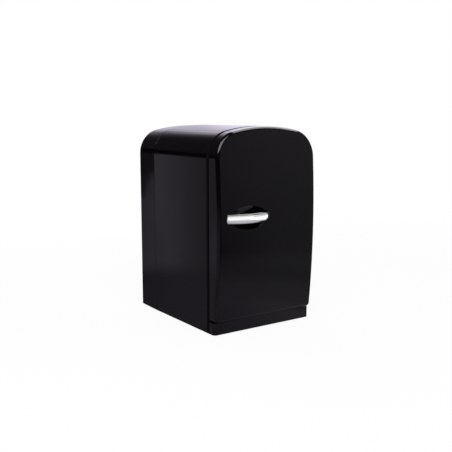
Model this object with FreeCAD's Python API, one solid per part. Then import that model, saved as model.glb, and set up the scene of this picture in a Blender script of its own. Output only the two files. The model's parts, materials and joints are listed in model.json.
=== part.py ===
"""Arched-top thermoelectric mini fridge, built as separate pieces, one STEP file for each.

Frame: millimetres, +Z up, the door faces -Y, origin under the middle of the whole fridge.
Places along the depth are given as s, the distance behind the front edge of the case shell,
so s is negative in the door and grows towards the rear cover.
"""
import FreeCAD, Part
import math
import os

from FreeCAD import Vector

os.makedirs("parts", exist_ok=True)

# ---- Case outline -----------------------------------------------------------------------
case_width = 190.0
case_height = 318.0          # lower edge of the case to the top of its crown
foot_height = 2.0            # the rubber feet lift the case by this much
crown_radius = 280.0
shoulder_radius = 43.0
case_wall = 2.4
seam_round = 0.8             # rounding of the case edges at both seams
cover_depth = 58.0           # length of the rear cover
cover_taper = 2.0            # the rear cover draws in by this much all round
cover_wall = 2.6
cover_round = 7.0            # rounding of the back edge
lip_reach = 3.0              # the cover's lip enters the shell by this much
lip_wall = 1.6

# ---- Plinth under the door --------------------------------------------------------------
plinth_reach = 17.0
plinth_height = 17.3
plinth_corner = 6.0
sill_depth = 6.0             # the plinth's top runs this far behind the case front
sill_rim = 1.6               # width of the raised rim along the plinth's edges
sill_rise = 1.5              # the rim rises by this much, and nearly closes the gap under the door
heel_radius = 4.0            # case and door are rounded alike where the door seam meets the plinth

# ---- Door -------------------------------------------------------------------------------
door_gap = 2.5               # between the case front and the back of the door
door_clearance = 2.2         # between the plinth and the door
door_edge = 21.0             # case front to the rim of the door's front, at top and bottom
door_belly = 8.0             # rise of the front from its top and bottom edges to the middle
door_crown = 1.5             # rise of the front from its sides to the middle
door_wall = 2.4
door_round = 5.5             # rounding of the front edge
door_corner = 6.0            # lower corners, seen from the front
door_back_round = 0.8

# ---- Handle -----------------------------------------------------------------------------
handle_offset = 40.2         # handle centre, left of the middle
handle_level = 182.5
dish_half_length = 36.0
dish_half_height = 18.5
dish_depth = 7.0
dish_rim_round = 1.2
bar_half_length = 40.6
bar_height = 14.8
bar_thickness = 7.0
bar_bow = 13.0               # the middle of the bar stands this far ahead of its ends
bar_proud = 0.5              # front of the bar's ends, ahead of the door's face
leg_radius = 3.6
leg_inset = 4.3              # leg centre, in from the tip of the bar
seat_depth = 6.2             # flat seat of the legs, behind the door's face
socket_wall = 1.6            # round the pockets that take the bar's ends
socket_side = 1.7            # bar to its pocket, above and below
socket_end = 1.0             # tip of the bar to the end of its pocket
handle_boss_length = 9.0
handle_boss_radius = 5.0

# ---- Hinge ------------------------------------------------------------------------------
hinge_inset = 6.0            # hinge axis, in from the side of the door
hinge_ahead = 7.0            # hinge axis, ahead of the back of the door
hinge_pin_radius = 2.0
bush_wall = 1.3
bush_length = 12.0
lug_drop = 57.5              # top of the case to the underside of the upper hinge lug
lug_thickness = 2.5
lug_eye_radius = 4.2
lug_neck = 6.2
lug_gap = 2.5                # above and below the lug, in the notch of the door
bracket_height = 24.0
bracket_width = 9.0
bracket_thickness = 1.5

# ---- Cabinet inside ---------------------------------------------------------------------
insulation = 25.0            # outside of the case to the inside of the liner
floor_level = 40.0
cavity_depth = 138.0
cavity_corner = 12.0
liner_wall = 1.6
flange_front = 0.8
flange_thickness = 2.0
shelf_level = 156.5
shelf_thickness = 2.4
shelf_slot = 4.0
ledge_width = 4.0
ledge_thickness = 2.5
shelf_side_gap = 0.6         # shelf to the sides of the cabinet
shelf_lip = 2.4              # thickness of the shelf's front lip
shelf_lip_rise = 3.0
shelf_space = 4.0            # shelf to the door's plug, and to the back of the cabinet

# ---- Inside of the door -----------------------------------------------------------------
panel_thickness = 2.4
plug_clearance = 2.0         # plug to liner, all round
plug_reach = 8.0             # the plug enters the cabinet by this much
plug_rim = 10.0
recess_depth = 6.5           # floor of the door pocket, ahead of the back of the door
rail_radius = 2.0
rail_rise = 22.0             # rail above the floor it guards
ledge_level = 150.0
gasket_outset = 4.5          # outer edge of the plug to the inner edge of the gasket
gasket_width = 9.0
gasket_lip = 2.5
door_screw_x = 38.0
recess_corner = 5.0
door_screw_below = 20.0      # screws at the sides of the panel, below and above the shelf
door_screw_above = 45.0
magnet_length = 30.0
magnet_width = 6.0
magnet_skin = 0.6            # panel left over the magnets
magnet_below = 70.0          # magnets, below and above the shelf
magnet_above = 80.0
strike_thickness = 1.2
strike_side = 0.5            # the strike plate is wider than its magnet by this much each side
strike_end = 4.0             # and longer by this much at each end

# ---- Cooling unit, from the cabinet to the back ------------------------------------------
unit_level = 165.0           # height of the middle of the fan, sink and module
cold_plate_thickness = 2.0
cold_plate_width = 96.0
cold_plate_height = 150.0
block_depth = 20.5
block_width = 64.0
block_height = 44.0
bulkhead_thickness = 1.5
module_size = 40.0
module_thickness = 4.0
sink_size = 100.0
sink_base = 6.0
fin_height = 24.0
fin_thickness = 1.6
fin_count = 14
fan_gap = 4.5
fan_size = 80.0
fan_depth = 20.0
fan_pitch = 71.5             # spacing of the fan's screws
fan_duct_radius = 38.5
fan_tip_gap = 1.3
fan_hub_radius = 15.0
fan_boss_length = 2.4
blade_count = 7
blade_camber = 1.8
blade_thickness = 1.3

# ---- Rear cover details -----------------------------------------------------------------
grille_radius = 38.0
grille_ring = 2.0
grille_ring_count = 5
grille_spokes = 8
slot_height = 3.2
slot_length = 52.0
slot_pitch = 7.0
slots_over_fan = 6
slots_under_fan = 4
cover_screw_inset = 14.0     # in from the side of the case
cover_screw_low = 30.0
cover_screw_drop = 70.0      # top of the case to the upper screws of the rear cover
sleeve_radius = 5.5
panel_half_width = 70.0
panel_low = 24.0
panel_high = 76.0
panel_recess = 3.0

# ---- Electrics --------------------------------------------------------------------------
board_width = 100.0
board_height = 68.0
board_low = 18.0
board_standoff = 6.0
board_thickness = 1.6
core_width = 34.0            # laminated core of the transformer
core_height = 28.0
core_depth = 16.0
core_lift = 3.0              # board to the core
bobbin_depth = 22.0
bobbin_width = 23.0
bobbin_height = 18.0
window_width = 7.0           # the windows of the core, on both sides of its middle leg
window_spread = 9.0
can_sizes = ((6.3, 20.0), (5.0, 16.0), (4.0, 12.0))       # radius and height of the capacitors
can_places = ((12.0, 14.0), (12.0, -6.0), (26.0, 17.0))   # from the middle of the board
rectifier_width = 22.0
rectifier_height = 18.0
rectifier_fin = 2.0
rectifier_fin_depth = 15.0
rectifier_fin_count = 5
rocker_x = 38.0
rocker_width = 9.4
rocker_radius = 8.2
rocker_gap = 0.3             # rocker to its frame, at the sides
rocker_sink = 4.0            # rocker's axle, behind the panel's face
rocker_axle = 1.2
rocker_dish = 20.0           # radius of the rocker's hollow face
switch_wall = 2.0
switch_depth = 14.0
switch_flange = 1.6
terminal_spacing = 6.0
terminal_reach = 6.0
inlet_x = -42.0
inlet_half_x = 10.0
inlet_half_z = 6.5
inlet_flange = 3.0
inlet_depth = 15.0
inlet_corner = 3.0
inlet_bore = 4.4
pin_spread = 4.3
pin_radius = 1.2
jack_x = 2.0
jack_radius = 5.5
jack_flange = 1.8
jack_bore = 3.2
jack_pin = 1.1
jack_depth = 13.0
flange_rise = 1.5            # flanges of the switch and the inlets, proud of the panel
led_x = 20.0
led_spread = 8.0
led_radius = 1.6
led_length = 6.0

# ---- Base, feet and fasteners -----------------------------------------------------------
base_thickness = 2.4
base_screw_inset = 11.0      # in from the side of the case
base_screw_front = 8.0
base_screw_back = 18.0       # ahead of the rear seam
foot_radius = 8.0
foot_inset = 25.0            # in from the side of the case
foot_front = 0.0
foot_back = 18.0             # ahead of the back of the rear cover
foot_round = 0.7
spigot_radius = 2.9
barb_height = 3.0
barb_spread = 0.7            # the spigot's barb is wider than the spigot by this much
base_rib_height = 5.0
base_rib_width = 2.0
base_rib_spacing = 40.0
screw_radius = 1.5
screw_head = 3.3
screw_head_height = 2.2
boss_radius = 4.5            # bosses of the rear cover's screws
boss_length = 19.0
boss_rib = 4.0
base_boss_width = 10.0
base_screw_recess = 1.4
panel_boss_radius = 3.2      # bosses of the door's inner panel
panel_boss_length = 12.0
panel_head = 2.7             # flat head of the panel's screws
panel_head_height = 1.4
board_screw_radius = 1.25

# ---- Clearances -------------------------------------------------------------------------
fit = 0.3                    # between pieces that lie beside each other
slip = 0.05                  # between a pin or screw and its bore

# ---- Worked out from the sizes above ----------------------------------------------------
half = case_width / 2
base_z = foot_height
case_top = base_z + case_height
plinth_top = base_z + plinth_height
door_bottom = plinth_top + door_clearance
crown_z = case_top - crown_radius
lug_level = case_top - lug_drop
cover_screw_x = half - cover_screw_inset
cover_screw_high = case_top - cover_screw_drop
base_screw_x = half - base_screw_inset
foot_x = half - foot_inset
tight_bend = 3.0             # smallest shoulder of an inner outline

flange_back = flange_front + flange_thickness
liner_back = cavity_depth + liner_wall
foam_back = cavity_depth + block_depth
bulkhead_back = foam_back + bulkhead_thickness
sink_front = foam_back + module_thickness
fins_front = sink_front + sink_base
fins_back = fins_front + fin_height
fan_front = fins_back + fan_gap
fan_back = fan_front + fan_depth
cover_inside = fan_back + fan_boss_length
body_depth = cover_inside + cover_wall
seam = body_depth - cover_depth

door_back = -door_gap
door_middle_z = (door_bottom + case_top) / 2
door_half_height = (case_top - door_bottom) / 2
door_front = -(door_edge + door_belly + door_crown)
belly_radius = (door_half_height ** 2 + door_belly ** 2) / (2 * door_belly)
crown_bend_radius = (half ** 2 + door_crown ** 2) / (2 * door_crown)


def face_s(x, z):
    """Where the door's front face lies, at x and z."""
    at_middle = door_front + belly_radius - math.sqrt(belly_radius ** 2 - (z - door_middle_z) ** 2)
    reach = door_front + crown_bend_radius - at_middle
    return door_front + crown_bend_radius - math.sqrt(reach ** 2 - x ** 2)


handle_x = -handle_offset
handle_face = face_s(handle_x, handle_level)
bar_end_front = handle_face - bar_proud
bar_middle_front = bar_end_front - bar_bow
front_reach = -bar_middle_front
seam_y = (front_reach - body_depth) / 2

hinge_x = half - hinge_inset
hinge_s = door_back - hinge_ahead
notch_low = lug_level - lug_gap
notch_high = lug_level + lug_thickness + lug_gap
bush_radius = hinge_pin_radius + slip + bush_wall

panel_back = door_back
panel_front = door_back - panel_thickness
plug_inset = insulation + plug_clearance
plug_bottom = floor_level + plug_clearance
recess_inset = plug_inset + plug_rim
recess_floor = door_back - recess_depth
gasket_inner = plug_inset - gasket_outset
gasket_outer = gasket_inner - gasket_width
gasket_bottom = plug_bottom - gasket_outset
edge_line = (case_wall + fit + gasket_outer) / 2


# ---- Building blocks --------------------------------------------------------------------
def at(x, s, z):
    return Vector(x, seam_y + s, z)


def box(x0, x1, s0, s1, z0, z1):
    return Part.makeBox(x1 - x0, s1 - s0, z1 - z0, at(x0, s0, z0))


def rod(x, z, radius, s0, s1):
    """Cylinder along the depth."""
    return Part.makeCylinder(radius, s1 - s0, at(x, s0, z), Vector(0, 1, 0))


def post(x, s, radius, z0, z1):
    """Upright cylinder."""
    return Part.makeCylinder(radius, z1 - z0, at(x, s, z0), Vector(0, 0, 1))


def axle(x0, x1, s, z, radius):
    """Cylinder across the width."""
    return Part.makeCylinder(radius, x1 - x0, at(x0, s, z), Vector(1, 0, 0))


def join(shapes):
    return shapes[0].fuse(shapes[1:]) if len(shapes) > 1 else shapes[0]


def rounded_box(x0, x1, s0, s1, z0, z1, radius):
    """Box whose edges along the depth are rounded."""
    block = box(x0, x1, s0, s1, z0, z1)
    edges = [e for e in block.Edges if abs(e.tangentAt(e.FirstParameter).y) > 0.99]
    return block.makeFillet(radius, edges)


def slot(x, z, length, height, s0, s1):
    """Cutter for a slot with round ends, along X."""
    reach = (length - height) / 2
    middle = box(x - reach, x + reach, s0, s1, z - height / 2, z + height / 2)
    return join([middle, rod(x - reach, z, height / 2, s0, s1), rod(x + reach, z, height / 2, s0, s1)])


def arch_wire(inset, s, z_low, corner=0.0):
    """Outline of the case, drawn in by inset, with its foot at z_low."""
    side = half - inset
    arc = crown_radius - inset
    bend = max(shoulder_radius - inset, tight_bend)
    bend_x = side - bend
    bend_z = crown_z + math.sqrt((arc - bend) ** 2 - bend_x ** 2)
    lean = math.atan2(bend_x, bend_z - crown_z)
    mid = (lean + math.pi / 2) / 2

    def on_shoulder(angle, sign):
        return at(sign * (bend_x + bend * math.sin(angle)), s, bend_z + bend * math.cos(angle))

    top = at(0, s, crown_z + arc)
    edges = [Part.LineSegment(at(-side + corner, s, z_low), at(side - corner, s, z_low))]
    if corner > 0:
        swing = corner * (1 - math.sqrt(0.5))
        edges.append(Part.Arc(at(side - corner, s, z_low), at(side - swing, s, z_low + swing),
                              at(side, s, z_low + corner)))
    edges.append(Part.LineSegment(at(side, s, z_low + corner), at(side, s, bend_z)))
    edges.append(Part.Arc(at(side, s, bend_z), on_shoulder(mid, 1), on_shoulder(lean, 1)))
    edges.append(Part.Arc(on_shoulder(lean, 1), top, on_shoulder(lean, -1)))
    edges.append(Part.Arc(on_shoulder(lean, -1), on_shoulder(mid, -1), at(-side, s, bend_z)))
    edges.append(Part.LineSegment(at(-side, s, bend_z), at(-side, s, z_low + corner)))
    if corner > 0:
        edges.append(Part.Arc(at(-side, s, z_low + corner), at(-side + swing, s, z_low + swing),
                              at(-side + corner, s, z_low)))
    return Part.Wire([edge.toShape() for edge in edges])


def arch(inset, z_low, s0, s1, corner=0.0):
    """Solid of the case outline, from s0 to s1."""
    return Part.Face(arch_wire(inset, s0, z_low, corner)).extrude(Vector(0, s1 - s0, 0))


def frontmost(shape):
    return min(shape.Faces, key=lambda face: face.CenterOfMass.y)


def rearmost(shape):
    return max(shape.Faces, key=lambda face: face.CenterOfMass.y)


def above_foot(edges, z):
    return [edge for edge in edges if edge.BoundBox.ZMax > z + 1]


def screw(x, z, seat, tip, radius=screw_radius, head=screw_head, height=screw_head_height):
    """Pan-head screw along the depth: the head lies at seat and the shank ends at tip."""
    way = 1 if tip > seat else -1
    low, high = sorted((seat, tip))
    cap = rod(x, z, head, min(seat, seat - way * height), max(seat, seat - way * height))
    outer = frontmost(cap) if way > 0 else rearmost(cap)
    cap = cap.makeFillet(height * 0.45, outer.Edges)
    recess_at = seat - way * height
    deep = recess_at + way * height * 0.5
    recess = [box(x - w, x + w, min(recess_at, deep), max(recess_at, deep), z - h, z + h)
              for w, h in ((head * 0.55, head * 0.13), (head * 0.13, head * 0.55))]
    return cap.fuse(rod(x, z, radius, low, high)).cut(join(recess))


def group(shapes):
    return Part.makeCompound(shapes)


def save(name, shape):
    shape.exportStep(f"parts/{name}.step")


# ---- Case -------------------------------------------------------------------------------
def cover_screw_places():
    return [(x, z) for x in (-cover_screw_x, cover_screw_x) for z in (cover_screw_low, cover_screw_high)]


def base_screw_places():
    return [(x, s) for x in (-base_screw_x, base_screw_x) for s in (base_screw_front, seam - base_screw_back)]


def cover_boss(x, z, grow=0.0):
    """Screw boss at the rear seam, with the rib that ties it to the side wall."""
    side = math.copysign(half - case_wall / 2, x)
    start = seam - boss_length - grow
    half_rib = boss_rib / 2 + grow
    rib = box(min(x, side), max(x, side), start, seam, z - half_rib, z + half_rib)
    return rod(x, z, boss_radius + grow, start, seam).fuse(rib)


def base_boss(x, s):
    """Block on the side wall that takes a screw through the base plate."""
    side = math.copysign(half - case_wall / 2, x)
    inner = math.copysign(abs(x) - base_boss_width / 2, x)
    return box(min(inner, side), max(inner, side), s - base_boss_width / 2, s + base_boss_width / 2,
               base_z + base_thickness, plinth_top - case_wall)


def round_front(block, radius):
    """Rounds the two upright edges at the front of a block."""
    corners = [e for e in frontmost(block).Edges if abs(e.tangentAt(e.FirstParameter).z) > 0.99]
    return block.makeFillet(radius, corners)


def plinth():
    """Block under the door, with a raised rim along its edges that clears the hinge's bush."""
    rim_top = plinth_top + sill_rise
    block = round_front(box(-half, half, -plinth_reach, seam_round + 0.2, base_z, rim_top), plinth_corner)
    bed = box(sill_rim - half, half - sill_rim, sill_rim - plinth_reach, seam_round + 0.3,
              plinth_top, rim_top + 1)
    bed = round_front(bed, plinth_corner - sill_rim)
    return block.cut([bed, post(hinge_x, hinge_s, lug_eye_radius + fit, plinth_top, rim_top + 1)])


def heel():
    """Hollow curve from the case front down to the plinth's top."""
    corner = box(-half, half, -heel_radius, seam_round + 0.2, plinth_top, plinth_top + heel_radius)
    return corner.cut(axle(-half - 1, half + 1, -heel_radius, plinth_top + heel_radius, heel_radius))


def case_shell():
    shell = arch(0, base_z, 0, seam)
    rounded = above_foot(frontmost(shell).Edges + rearmost(shell).Edges, base_z)
    shell = shell.makeFillet(seam_round, rounded)
    shell = shell.fuse([plinth(), heel()])
    inner = half - case_wall
    toe = box(-inner, inner, case_wall - plinth_reach, sill_depth + 1, base_z - 1, plinth_top - case_wall)
    toe = round_front(toe, plinth_corner - case_wall)
    mouth = arch(case_wall, plinth_top, 0, sill_depth + 1)
    hollow = join([arch(case_wall, base_z - 1, sill_depth, seam + 1), toe, mouth])
    shell = shell.cut(hollow)
    bosses = [cover_boss(x, z) for x, z in cover_screw_places()]
    bosses += [base_boss(x, s) for x, s in base_screw_places()]
    shell = shell.fuse(bosses)
    holes = [rod(x, z, screw_radius + slip, seam - boss_length + 4.0, seam + 1)
             for x, z in cover_screw_places()]
    holes += [post(x, s, screw_radius + slip, base_z, plinth_top - case_wall - 2.0)
              for x, s in base_screw_places()]
    holes.append(post(hinge_x, hinge_s, hinge_pin_radius + slip, base_z, plinth_top + 1))
    return shell.cut(join(holes)).removeSplitter()


def base_plate():
    side = half - case_wall - fit
    front = case_wall + fit - plinth_reach
    plate = box(-side, side, front, seam - fit, base_z, base_z + base_thickness)
    plate = round_front(plate, plinth_corner - case_wall - fit)
    rib_top = base_z + base_thickness + base_rib_height
    ribs = [box(x - base_rib_width / 2, x + base_rib_width / 2, sill_depth + 6, seam - lip_reach - 4,
                base_z + base_thickness, rib_top) for x in (-base_rib_spacing, 0, base_rib_spacing)]
    plate = plate.fuse(ribs)
    cuts = [post(x, s, screw_radius + slip, base_z - 1, rib_top) for x, s in base_screw_places()]
    cuts += [post(x, s, screw_head + slip, base_z - 1, base_z + base_screw_recess)
             for x, s in base_screw_places()]
    cuts += [post(x, foot_front, spigot_radius + 0.1, base_z - 1, rib_top) for x in (-foot_x, foot_x)]
    return plate.cut(join(cuts)).removeSplitter()


def base_screw(x, s):
    head = post(x, s, screw_head, base_z + 0.1, base_z + base_screw_recess)
    return head.fuse(post(x, s, screw_radius, base_z + 0.1, plinth_top - case_wall - 4.0))


def foot(x, s, floor):
    """Rubber foot with the spigot that snaps into the floor of the case."""
    pad = post(x, s, foot_radius, 0, base_z)
    pad = pad.makeFillet(foot_round, [e for e in pad.Edges if e.BoundBox.ZMax < 0.1])
    barb = Part.makeCone(spigot_radius + barb_spread, spigot_radius - barb_spread, barb_height,
                         at(x, s, base_z + floor + 0.1), Vector(0, 0, 1))
    return join([pad, post(x, s, spigot_radius, base_z - 0.5, base_z + floor + 0.5), barb])


# ---- Cabinet liner, insulation and shelf ------------------------------------------------
def cavity(grow, s0, s1):
    """Inside of the cabinet, grown outwards by grow."""
    return arch(insulation - grow, floor_level - grow, s0, s1, cavity_corner + grow)


def bracket_plate_box(grow):
    """Room of the hinge bracket's plate, behind the liner's flange."""
    outer = half - case_wall - fit
    middle = lug_level + lug_thickness / 2
    reach = bracket_height / 2 + grow
    return box(outer - bracket_width - grow, outer + grow,
               flange_back, flange_back + bracket_thickness + grow, middle - reach, middle + reach)


def lug_neck_box(grow, s0, s1):
    neck = lug_neck / 2 + grow
    return box(hinge_x - neck, hinge_x + neck, s0, s1, lug_level - grow, lug_level + lug_thickness + grow)


def strike_places():
    return [shelf_level - magnet_below, shelf_level + magnet_above]


def strike_box(z, grow):
    x = edge_line - half
    reach_x = magnet_width / 2 + strike_side + grow
    reach_z = magnet_length / 2 + strike_end + grow
    return box(x - reach_x, x + reach_x, flange_front - grow, flange_front + strike_thickness,
               z - reach_z, z + reach_z)


def inner_liner():
    flange = arch(case_wall + fit, plinth_top + fit, flange_front, flange_back)
    tub = cavity(liner_wall, flange_front, liner_back)
    liner = flange.fuse(tub).cut(cavity(0, -1, cavity_depth))
    inside = half - insulation
    ledges = [box(min(sign * (inside - ledge_width), sign * (inside + 0.5)),
                  max(sign * (inside - ledge_width), sign * (inside + 0.5)),
                  plug_reach + shelf_space, cavity_depth - shelf_space,
                  shelf_level - ledge_thickness, shelf_level)
              for sign in (-1, 1)]
    liner = liner.fuse(ledges)
    window = box(-block_width / 2 - fit, block_width / 2 + fit, cavity_depth - 1, liner_back + 1,
                 unit_level - block_height / 2 - fit, unit_level + block_height / 2 + fit)
    cuts = [window, lug_neck_box(fit, flange_front - 1, flange_back + 1)]
    cuts += [strike_box(z, slip) for z in strike_places()]
    return liner.cut(join(cuts)).removeSplitter()


def cabinet_foam():
    """Foam between shell and liner, open for the cold block."""
    front = flange_back + fit
    low = plinth_top + fit
    lip_start = seam - lip_reach - fit
    foam = arch(case_wall + fit, low, front, min(lip_start, foam_back))
    if foam_back > lip_start:
        foam = foam.fuse(arch(case_wall + lip_wall + 2 * fit, low, lip_start, foam_back))
    sill = box(-half, half, front - 1, sill_depth + fit, 0, plinth_top + fit)
    block = box(-block_width / 2 - fit, block_width / 2 + fit, liner_back - 1, foam_back + 1,
                unit_level - block_height / 2 - fit, unit_level + block_height / 2 + fit)
    cuts = [cavity(liner_wall + fit, front - 1, liner_back + fit), block, sill, bracket_plate_box(fit)]
    cuts += [cover_boss(x, z, fit) for x, z in cover_screw_places()]
    return foam.cut(join(cuts)).removeSplitter()


def shelf():
    """Moulded shelf with a raised front lip and rows of slots."""
    side = half - insulation - shelf_side_gap
    front = plug_reach + shelf_space
    back = cavity_depth - shelf_space
    plate = box(-side, side, front, back, shelf_level, shelf_level + shelf_thickness)
    lip = box(-side, side, front, front + shelf_lip, shelf_level,
              shelf_level + shelf_thickness + shelf_lip_rise)
    tray = plate.fuse(lip)
    pitch = shelf_slot * 2.2
    count = int((2 * side - 16.0) / pitch)
    start = -pitch * (count - 1) / 2
    cuts = []
    middle = (front + back) / 2
    for row_front, row_back in ((front + 9.0, middle - 3.0), (middle + 3.0, back - 7.0)):
        for i in range(count):
            left = start + i * pitch - shelf_slot / 2
            cuts.append(box(left, left + shelf_slot, row_front, row_back,
                            shelf_level - 1, shelf_level + shelf_thickness + 1))
    return tray.cut(join(cuts)).removeSplitter()


def strike_plates():
    return group([strike_box(z, 0) for z in strike_places()])


# ---- Hinge ------------------------------------------------------------------------------
def hinge_bracket():
    """Steel plate behind the liner's flange, with a lug that carries the upper pin."""
    neck = lug_neck_box(0, hinge_s, flange_back + bracket_thickness / 2)
    eye = post(hinge_x, hinge_s, lug_eye_radius, lug_level, lug_level + lug_thickness)
    bracket = join([bracket_plate_box(0), neck, eye])
    return bracket.cut(post(hinge_x, hinge_s, hinge_pin_radius, lug_level - 1, lug_level + lug_thickness + 1))


def upper_pin():
    """Riveted through the lug, down into the door."""
    rivet = post(hinge_x, hinge_s, hinge_pin_radius + 0.8, lug_level + lug_thickness,
                 lug_level + lug_thickness + 1.2)
    pin = post(hinge_x, hinge_s, hinge_pin_radius, notch_low - bush_length + 0.5,
               lug_level + lug_thickness + 1.2)
    return rivet.fuse(pin)


def lower_pin():
    """Stands in the plinth, with a collar that carries the door."""
    collar = post(hinge_x, hinge_s, lug_eye_radius - 0.2, plinth_top, door_bottom - 1.3)
    under = plinth_top - case_wall
    pin = post(hinge_x, hinge_s, hinge_pin_radius, under - 1.0, door_bottom + bush_length - 0.5)
    washer = post(hinge_x, hinge_s, hinge_pin_radius + 1.4, under - 1.0, under)
    return join([collar, pin, washer])


def bush(low, high, flange_low):
    """Flanged bearing bush of the door, standing in its hinge block."""
    flange_z = low - 1.0 if flange_low else high
    body = post(hinge_x, hinge_s, bush_radius, low, high)
    flange = post(hinge_x, hinge_s, bush_radius + 0.6, flange_z, flange_z + 1.0)
    return body.fuse(flange).cut(post(hinge_x, hinge_s, hinge_pin_radius + slip, low - 2, high + 2))


# ---- Door -------------------------------------------------------------------------------
def door_form(inset, back):
    """The door's crowned form, drawn in by inset and cut off flat at back."""
    outline = arch(inset, door_bottom + inset, door_front - 10, back, door_corner - inset)
    axis_s = door_front + crown_bend_radius
    centre_s = door_front + belly_radius
    bend = belly_radius - inset
    rise = door_half_height + 10
    drop = math.sqrt(bend ** 2 - rise ** 2)
    low = at(0, centre_s - drop, door_middle_z - rise)
    high = at(0, centre_s - drop, door_middle_z + rise)
    edges = [Part.Arc(low, at(0, centre_s - bend, door_middle_z), high).toShape(),
             Part.LineSegment(high, at(0, back + 10, high.z)).toShape(),
             Part.LineSegment(at(0, back + 10, high.z), at(0, back + 10, low.z)).toShape(),
             Part.LineSegment(at(0, back + 10, low.z), low).toShape()]
    turn = math.degrees(math.asin((half + 10) / crown_bend_radius))
    section = Part.Face(Part.Wire(edges))
    section.rotate(at(0, axis_s, 0), Vector(0, 0, 1), -turn)
    crowned = section.revolve(at(0, axis_s, 0), Vector(0, 0, 1), 2 * turn)
    form = outline.common(crowned)
    return form.makeFillet(door_round - inset, frontmost(form).Edges)


dish_sphere = (dish_half_height ** 2 + dish_depth ** 2) / (2 * dish_depth)
dish_stretch = dish_half_length / dish_half_height
dish_centre = handle_face - (dish_sphere - dish_depth)


def dish_body(grow):
    """Ellipsoid of the dish, grown by grow."""
    ball = Part.makeSphere(1.0, Vector(0, 0, 0), Vector(1, 0, 0))
    shape = FreeCAD.Matrix()
    shape.scale(dish_sphere * dish_stretch + grow, dish_sphere + grow, dish_sphere + grow)
    ellipsoid = ball.transformGeometry(shape)
    ellipsoid.translate(at(handle_x, dish_centre, handle_level))
    return ellipsoid


bar_centre_s = bar_middle_front + (bar_half_length ** 2 + bar_bow ** 2) / (2 * bar_bow)
bar_line_radius = bar_centre_s - bar_middle_front - bar_thickness / 2
bar_turn = math.asin((bar_half_length - bar_thickness / 2) / bar_line_radius)
leg_places = [handle_x - bar_half_length + leg_inset, handle_x + bar_half_length - leg_inset]
leg_seat = handle_face + seat_depth
socket_radius = bar_height / 2 + socket_side
socket_reach = bar_half_length + socket_end - socket_radius


def half_oval(centre, way):
    """Front (way -1) or back (way 1) half of the bar's upright oval section."""
    top = centre + Vector(0, 0, bar_height / 2)
    low = centre - Vector(0, 0, bar_height / 2)
    curve = Part.Ellipse(top, centre + Vector(0, bar_thickness / 2, 0), centre)
    arc = Part.Arc(curve, 0, math.pi) if way > 0 else Part.Arc(curve, math.pi, 2 * math.pi)
    return Part.Face(Part.Wire([arc.toShape(), Part.LineSegment(low, top).toShape()]))


def handle_bar():
    """Bowed chrome bar: an oval section swung about an upright axis, with round ends and two legs."""
    up = Vector(0, 0, 1)
    centre = at(handle_x, bar_centre_s, handle_level)
    middle = centre - Vector(0, bar_line_radius, 0)
    turn = math.degrees(bar_turn)
    solids = []
    for way in (-1, 1):
        section = half_oval(middle, way)
        section.rotate(centre, up, -turn)
        solids.append(section.revolve(centre, up, 2 * turn))
        end = half_oval(middle, -1).revolve(middle, up, way * 180).toNurbs()
        end.rotate(centre, up, way * turn)
        solids.append(end)
    solids += [rod(x, handle_level, leg_radius, leg_seat - seat_depth + 1.5, leg_seat) for x in leg_places]
    holes = [rod(x, handle_level, screw_radius + slip, leg_seat - seat_depth + 1.5, leg_seat + 1)
             for x in leg_places]
    return join(solids).removeSplitter().cut(join(holes))


def handle_screws():
    seat = leg_seat + handle_boss_length
    return group([screw(x, handle_level, seat, leg_seat - seat_depth + 2.5) for x in leg_places])


def door_screw_places():
    """Place of each screw of the door's inner panel, and the way from it to the nearest wall."""
    side = half - edge_line
    crown_line = crown_radius - edge_line
    places = []
    for x in (-door_screw_x, door_screw_x):
        places.append((x, crown_z + math.sqrt(crown_line ** 2 - x ** 2), (0, 1)))
        places.append((x, door_bottom + edge_line, (0, -1)))
    for sign in (-1, 1):
        places += [(sign * side, z, (sign, 0))
                   for z in (shelf_level - door_screw_below, shelf_level + door_screw_above)]
    return places


def door_boss(x, z, way, grow):
    """Screw boss with a rib to the wall of the door."""
    reach = edge_line - door_wall / 2
    half_rib = 1.2 + grow
    across = sorted((x, x + way[0] * reach)) if way[0] else (x - half_rib, x + half_rib)
    along = sorted((z, z + way[1] * reach)) if way[1] else (z - half_rib, z + half_rib)
    start = panel_front - panel_boss_length - grow
    rib = box(across[0], across[1], start, panel_front, along[0], along[1])
    return rod(x, z, panel_boss_radius + grow, start, panel_front).fuse(rib)


def hinge_block(low, high, grow):
    return box(hinge_x - bush_radius - 2.0 - grow, half + 1,
               hinge_s - bush_radius - 4.0 - grow, door_back + 1, low - grow, high + grow)


def door_fittings(grow):
    """What stands inside the door's moulding, grown by grow: dish, bosses and hinge blocks."""
    seat_back = leg_seat + handle_boss_length
    head_room = screw_head_height + fit if grow > 0 else 0.0
    fittings = [dish_body(door_wall + grow)]
    fittings += [rod(x, handle_level, handle_boss_radius + grow, leg_seat - 4.0, seat_back + head_room)
                 for x in leg_places]
    fittings += [rod(handle_x + sign * socket_reach, handle_level, socket_radius + socket_wall + grow,
                     leg_seat - seat_depth + 2, leg_seat + socket_wall + grow) for sign in (-1, 1)]
    fittings.append(hinge_block(door_bottom - 1, door_bottom + bush_length + 3.0, grow))
    fittings.append(hinge_block(notch_low - bush_length - 3.0, notch_high + 2.4, grow))
    fittings += [door_boss(x, z, way, grow) for x, z, way in door_screw_places()]
    return fittings


def door_core(grow):
    """Room inside the door's moulding, less its fittings."""
    back = panel_front - grow if grow > 0 else panel_front + 1.0
    return door_form(door_wall + grow, back).cut(join(door_fittings(grow)))


def notch():
    """Open to the back and to the hinge side, so that the lug can swing through."""
    return box(hinge_x - lug_eye_radius - 1.6, half + 5, hinge_s - lug_eye_radius - 4.2, 1,
               notch_low, notch_high)


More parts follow.
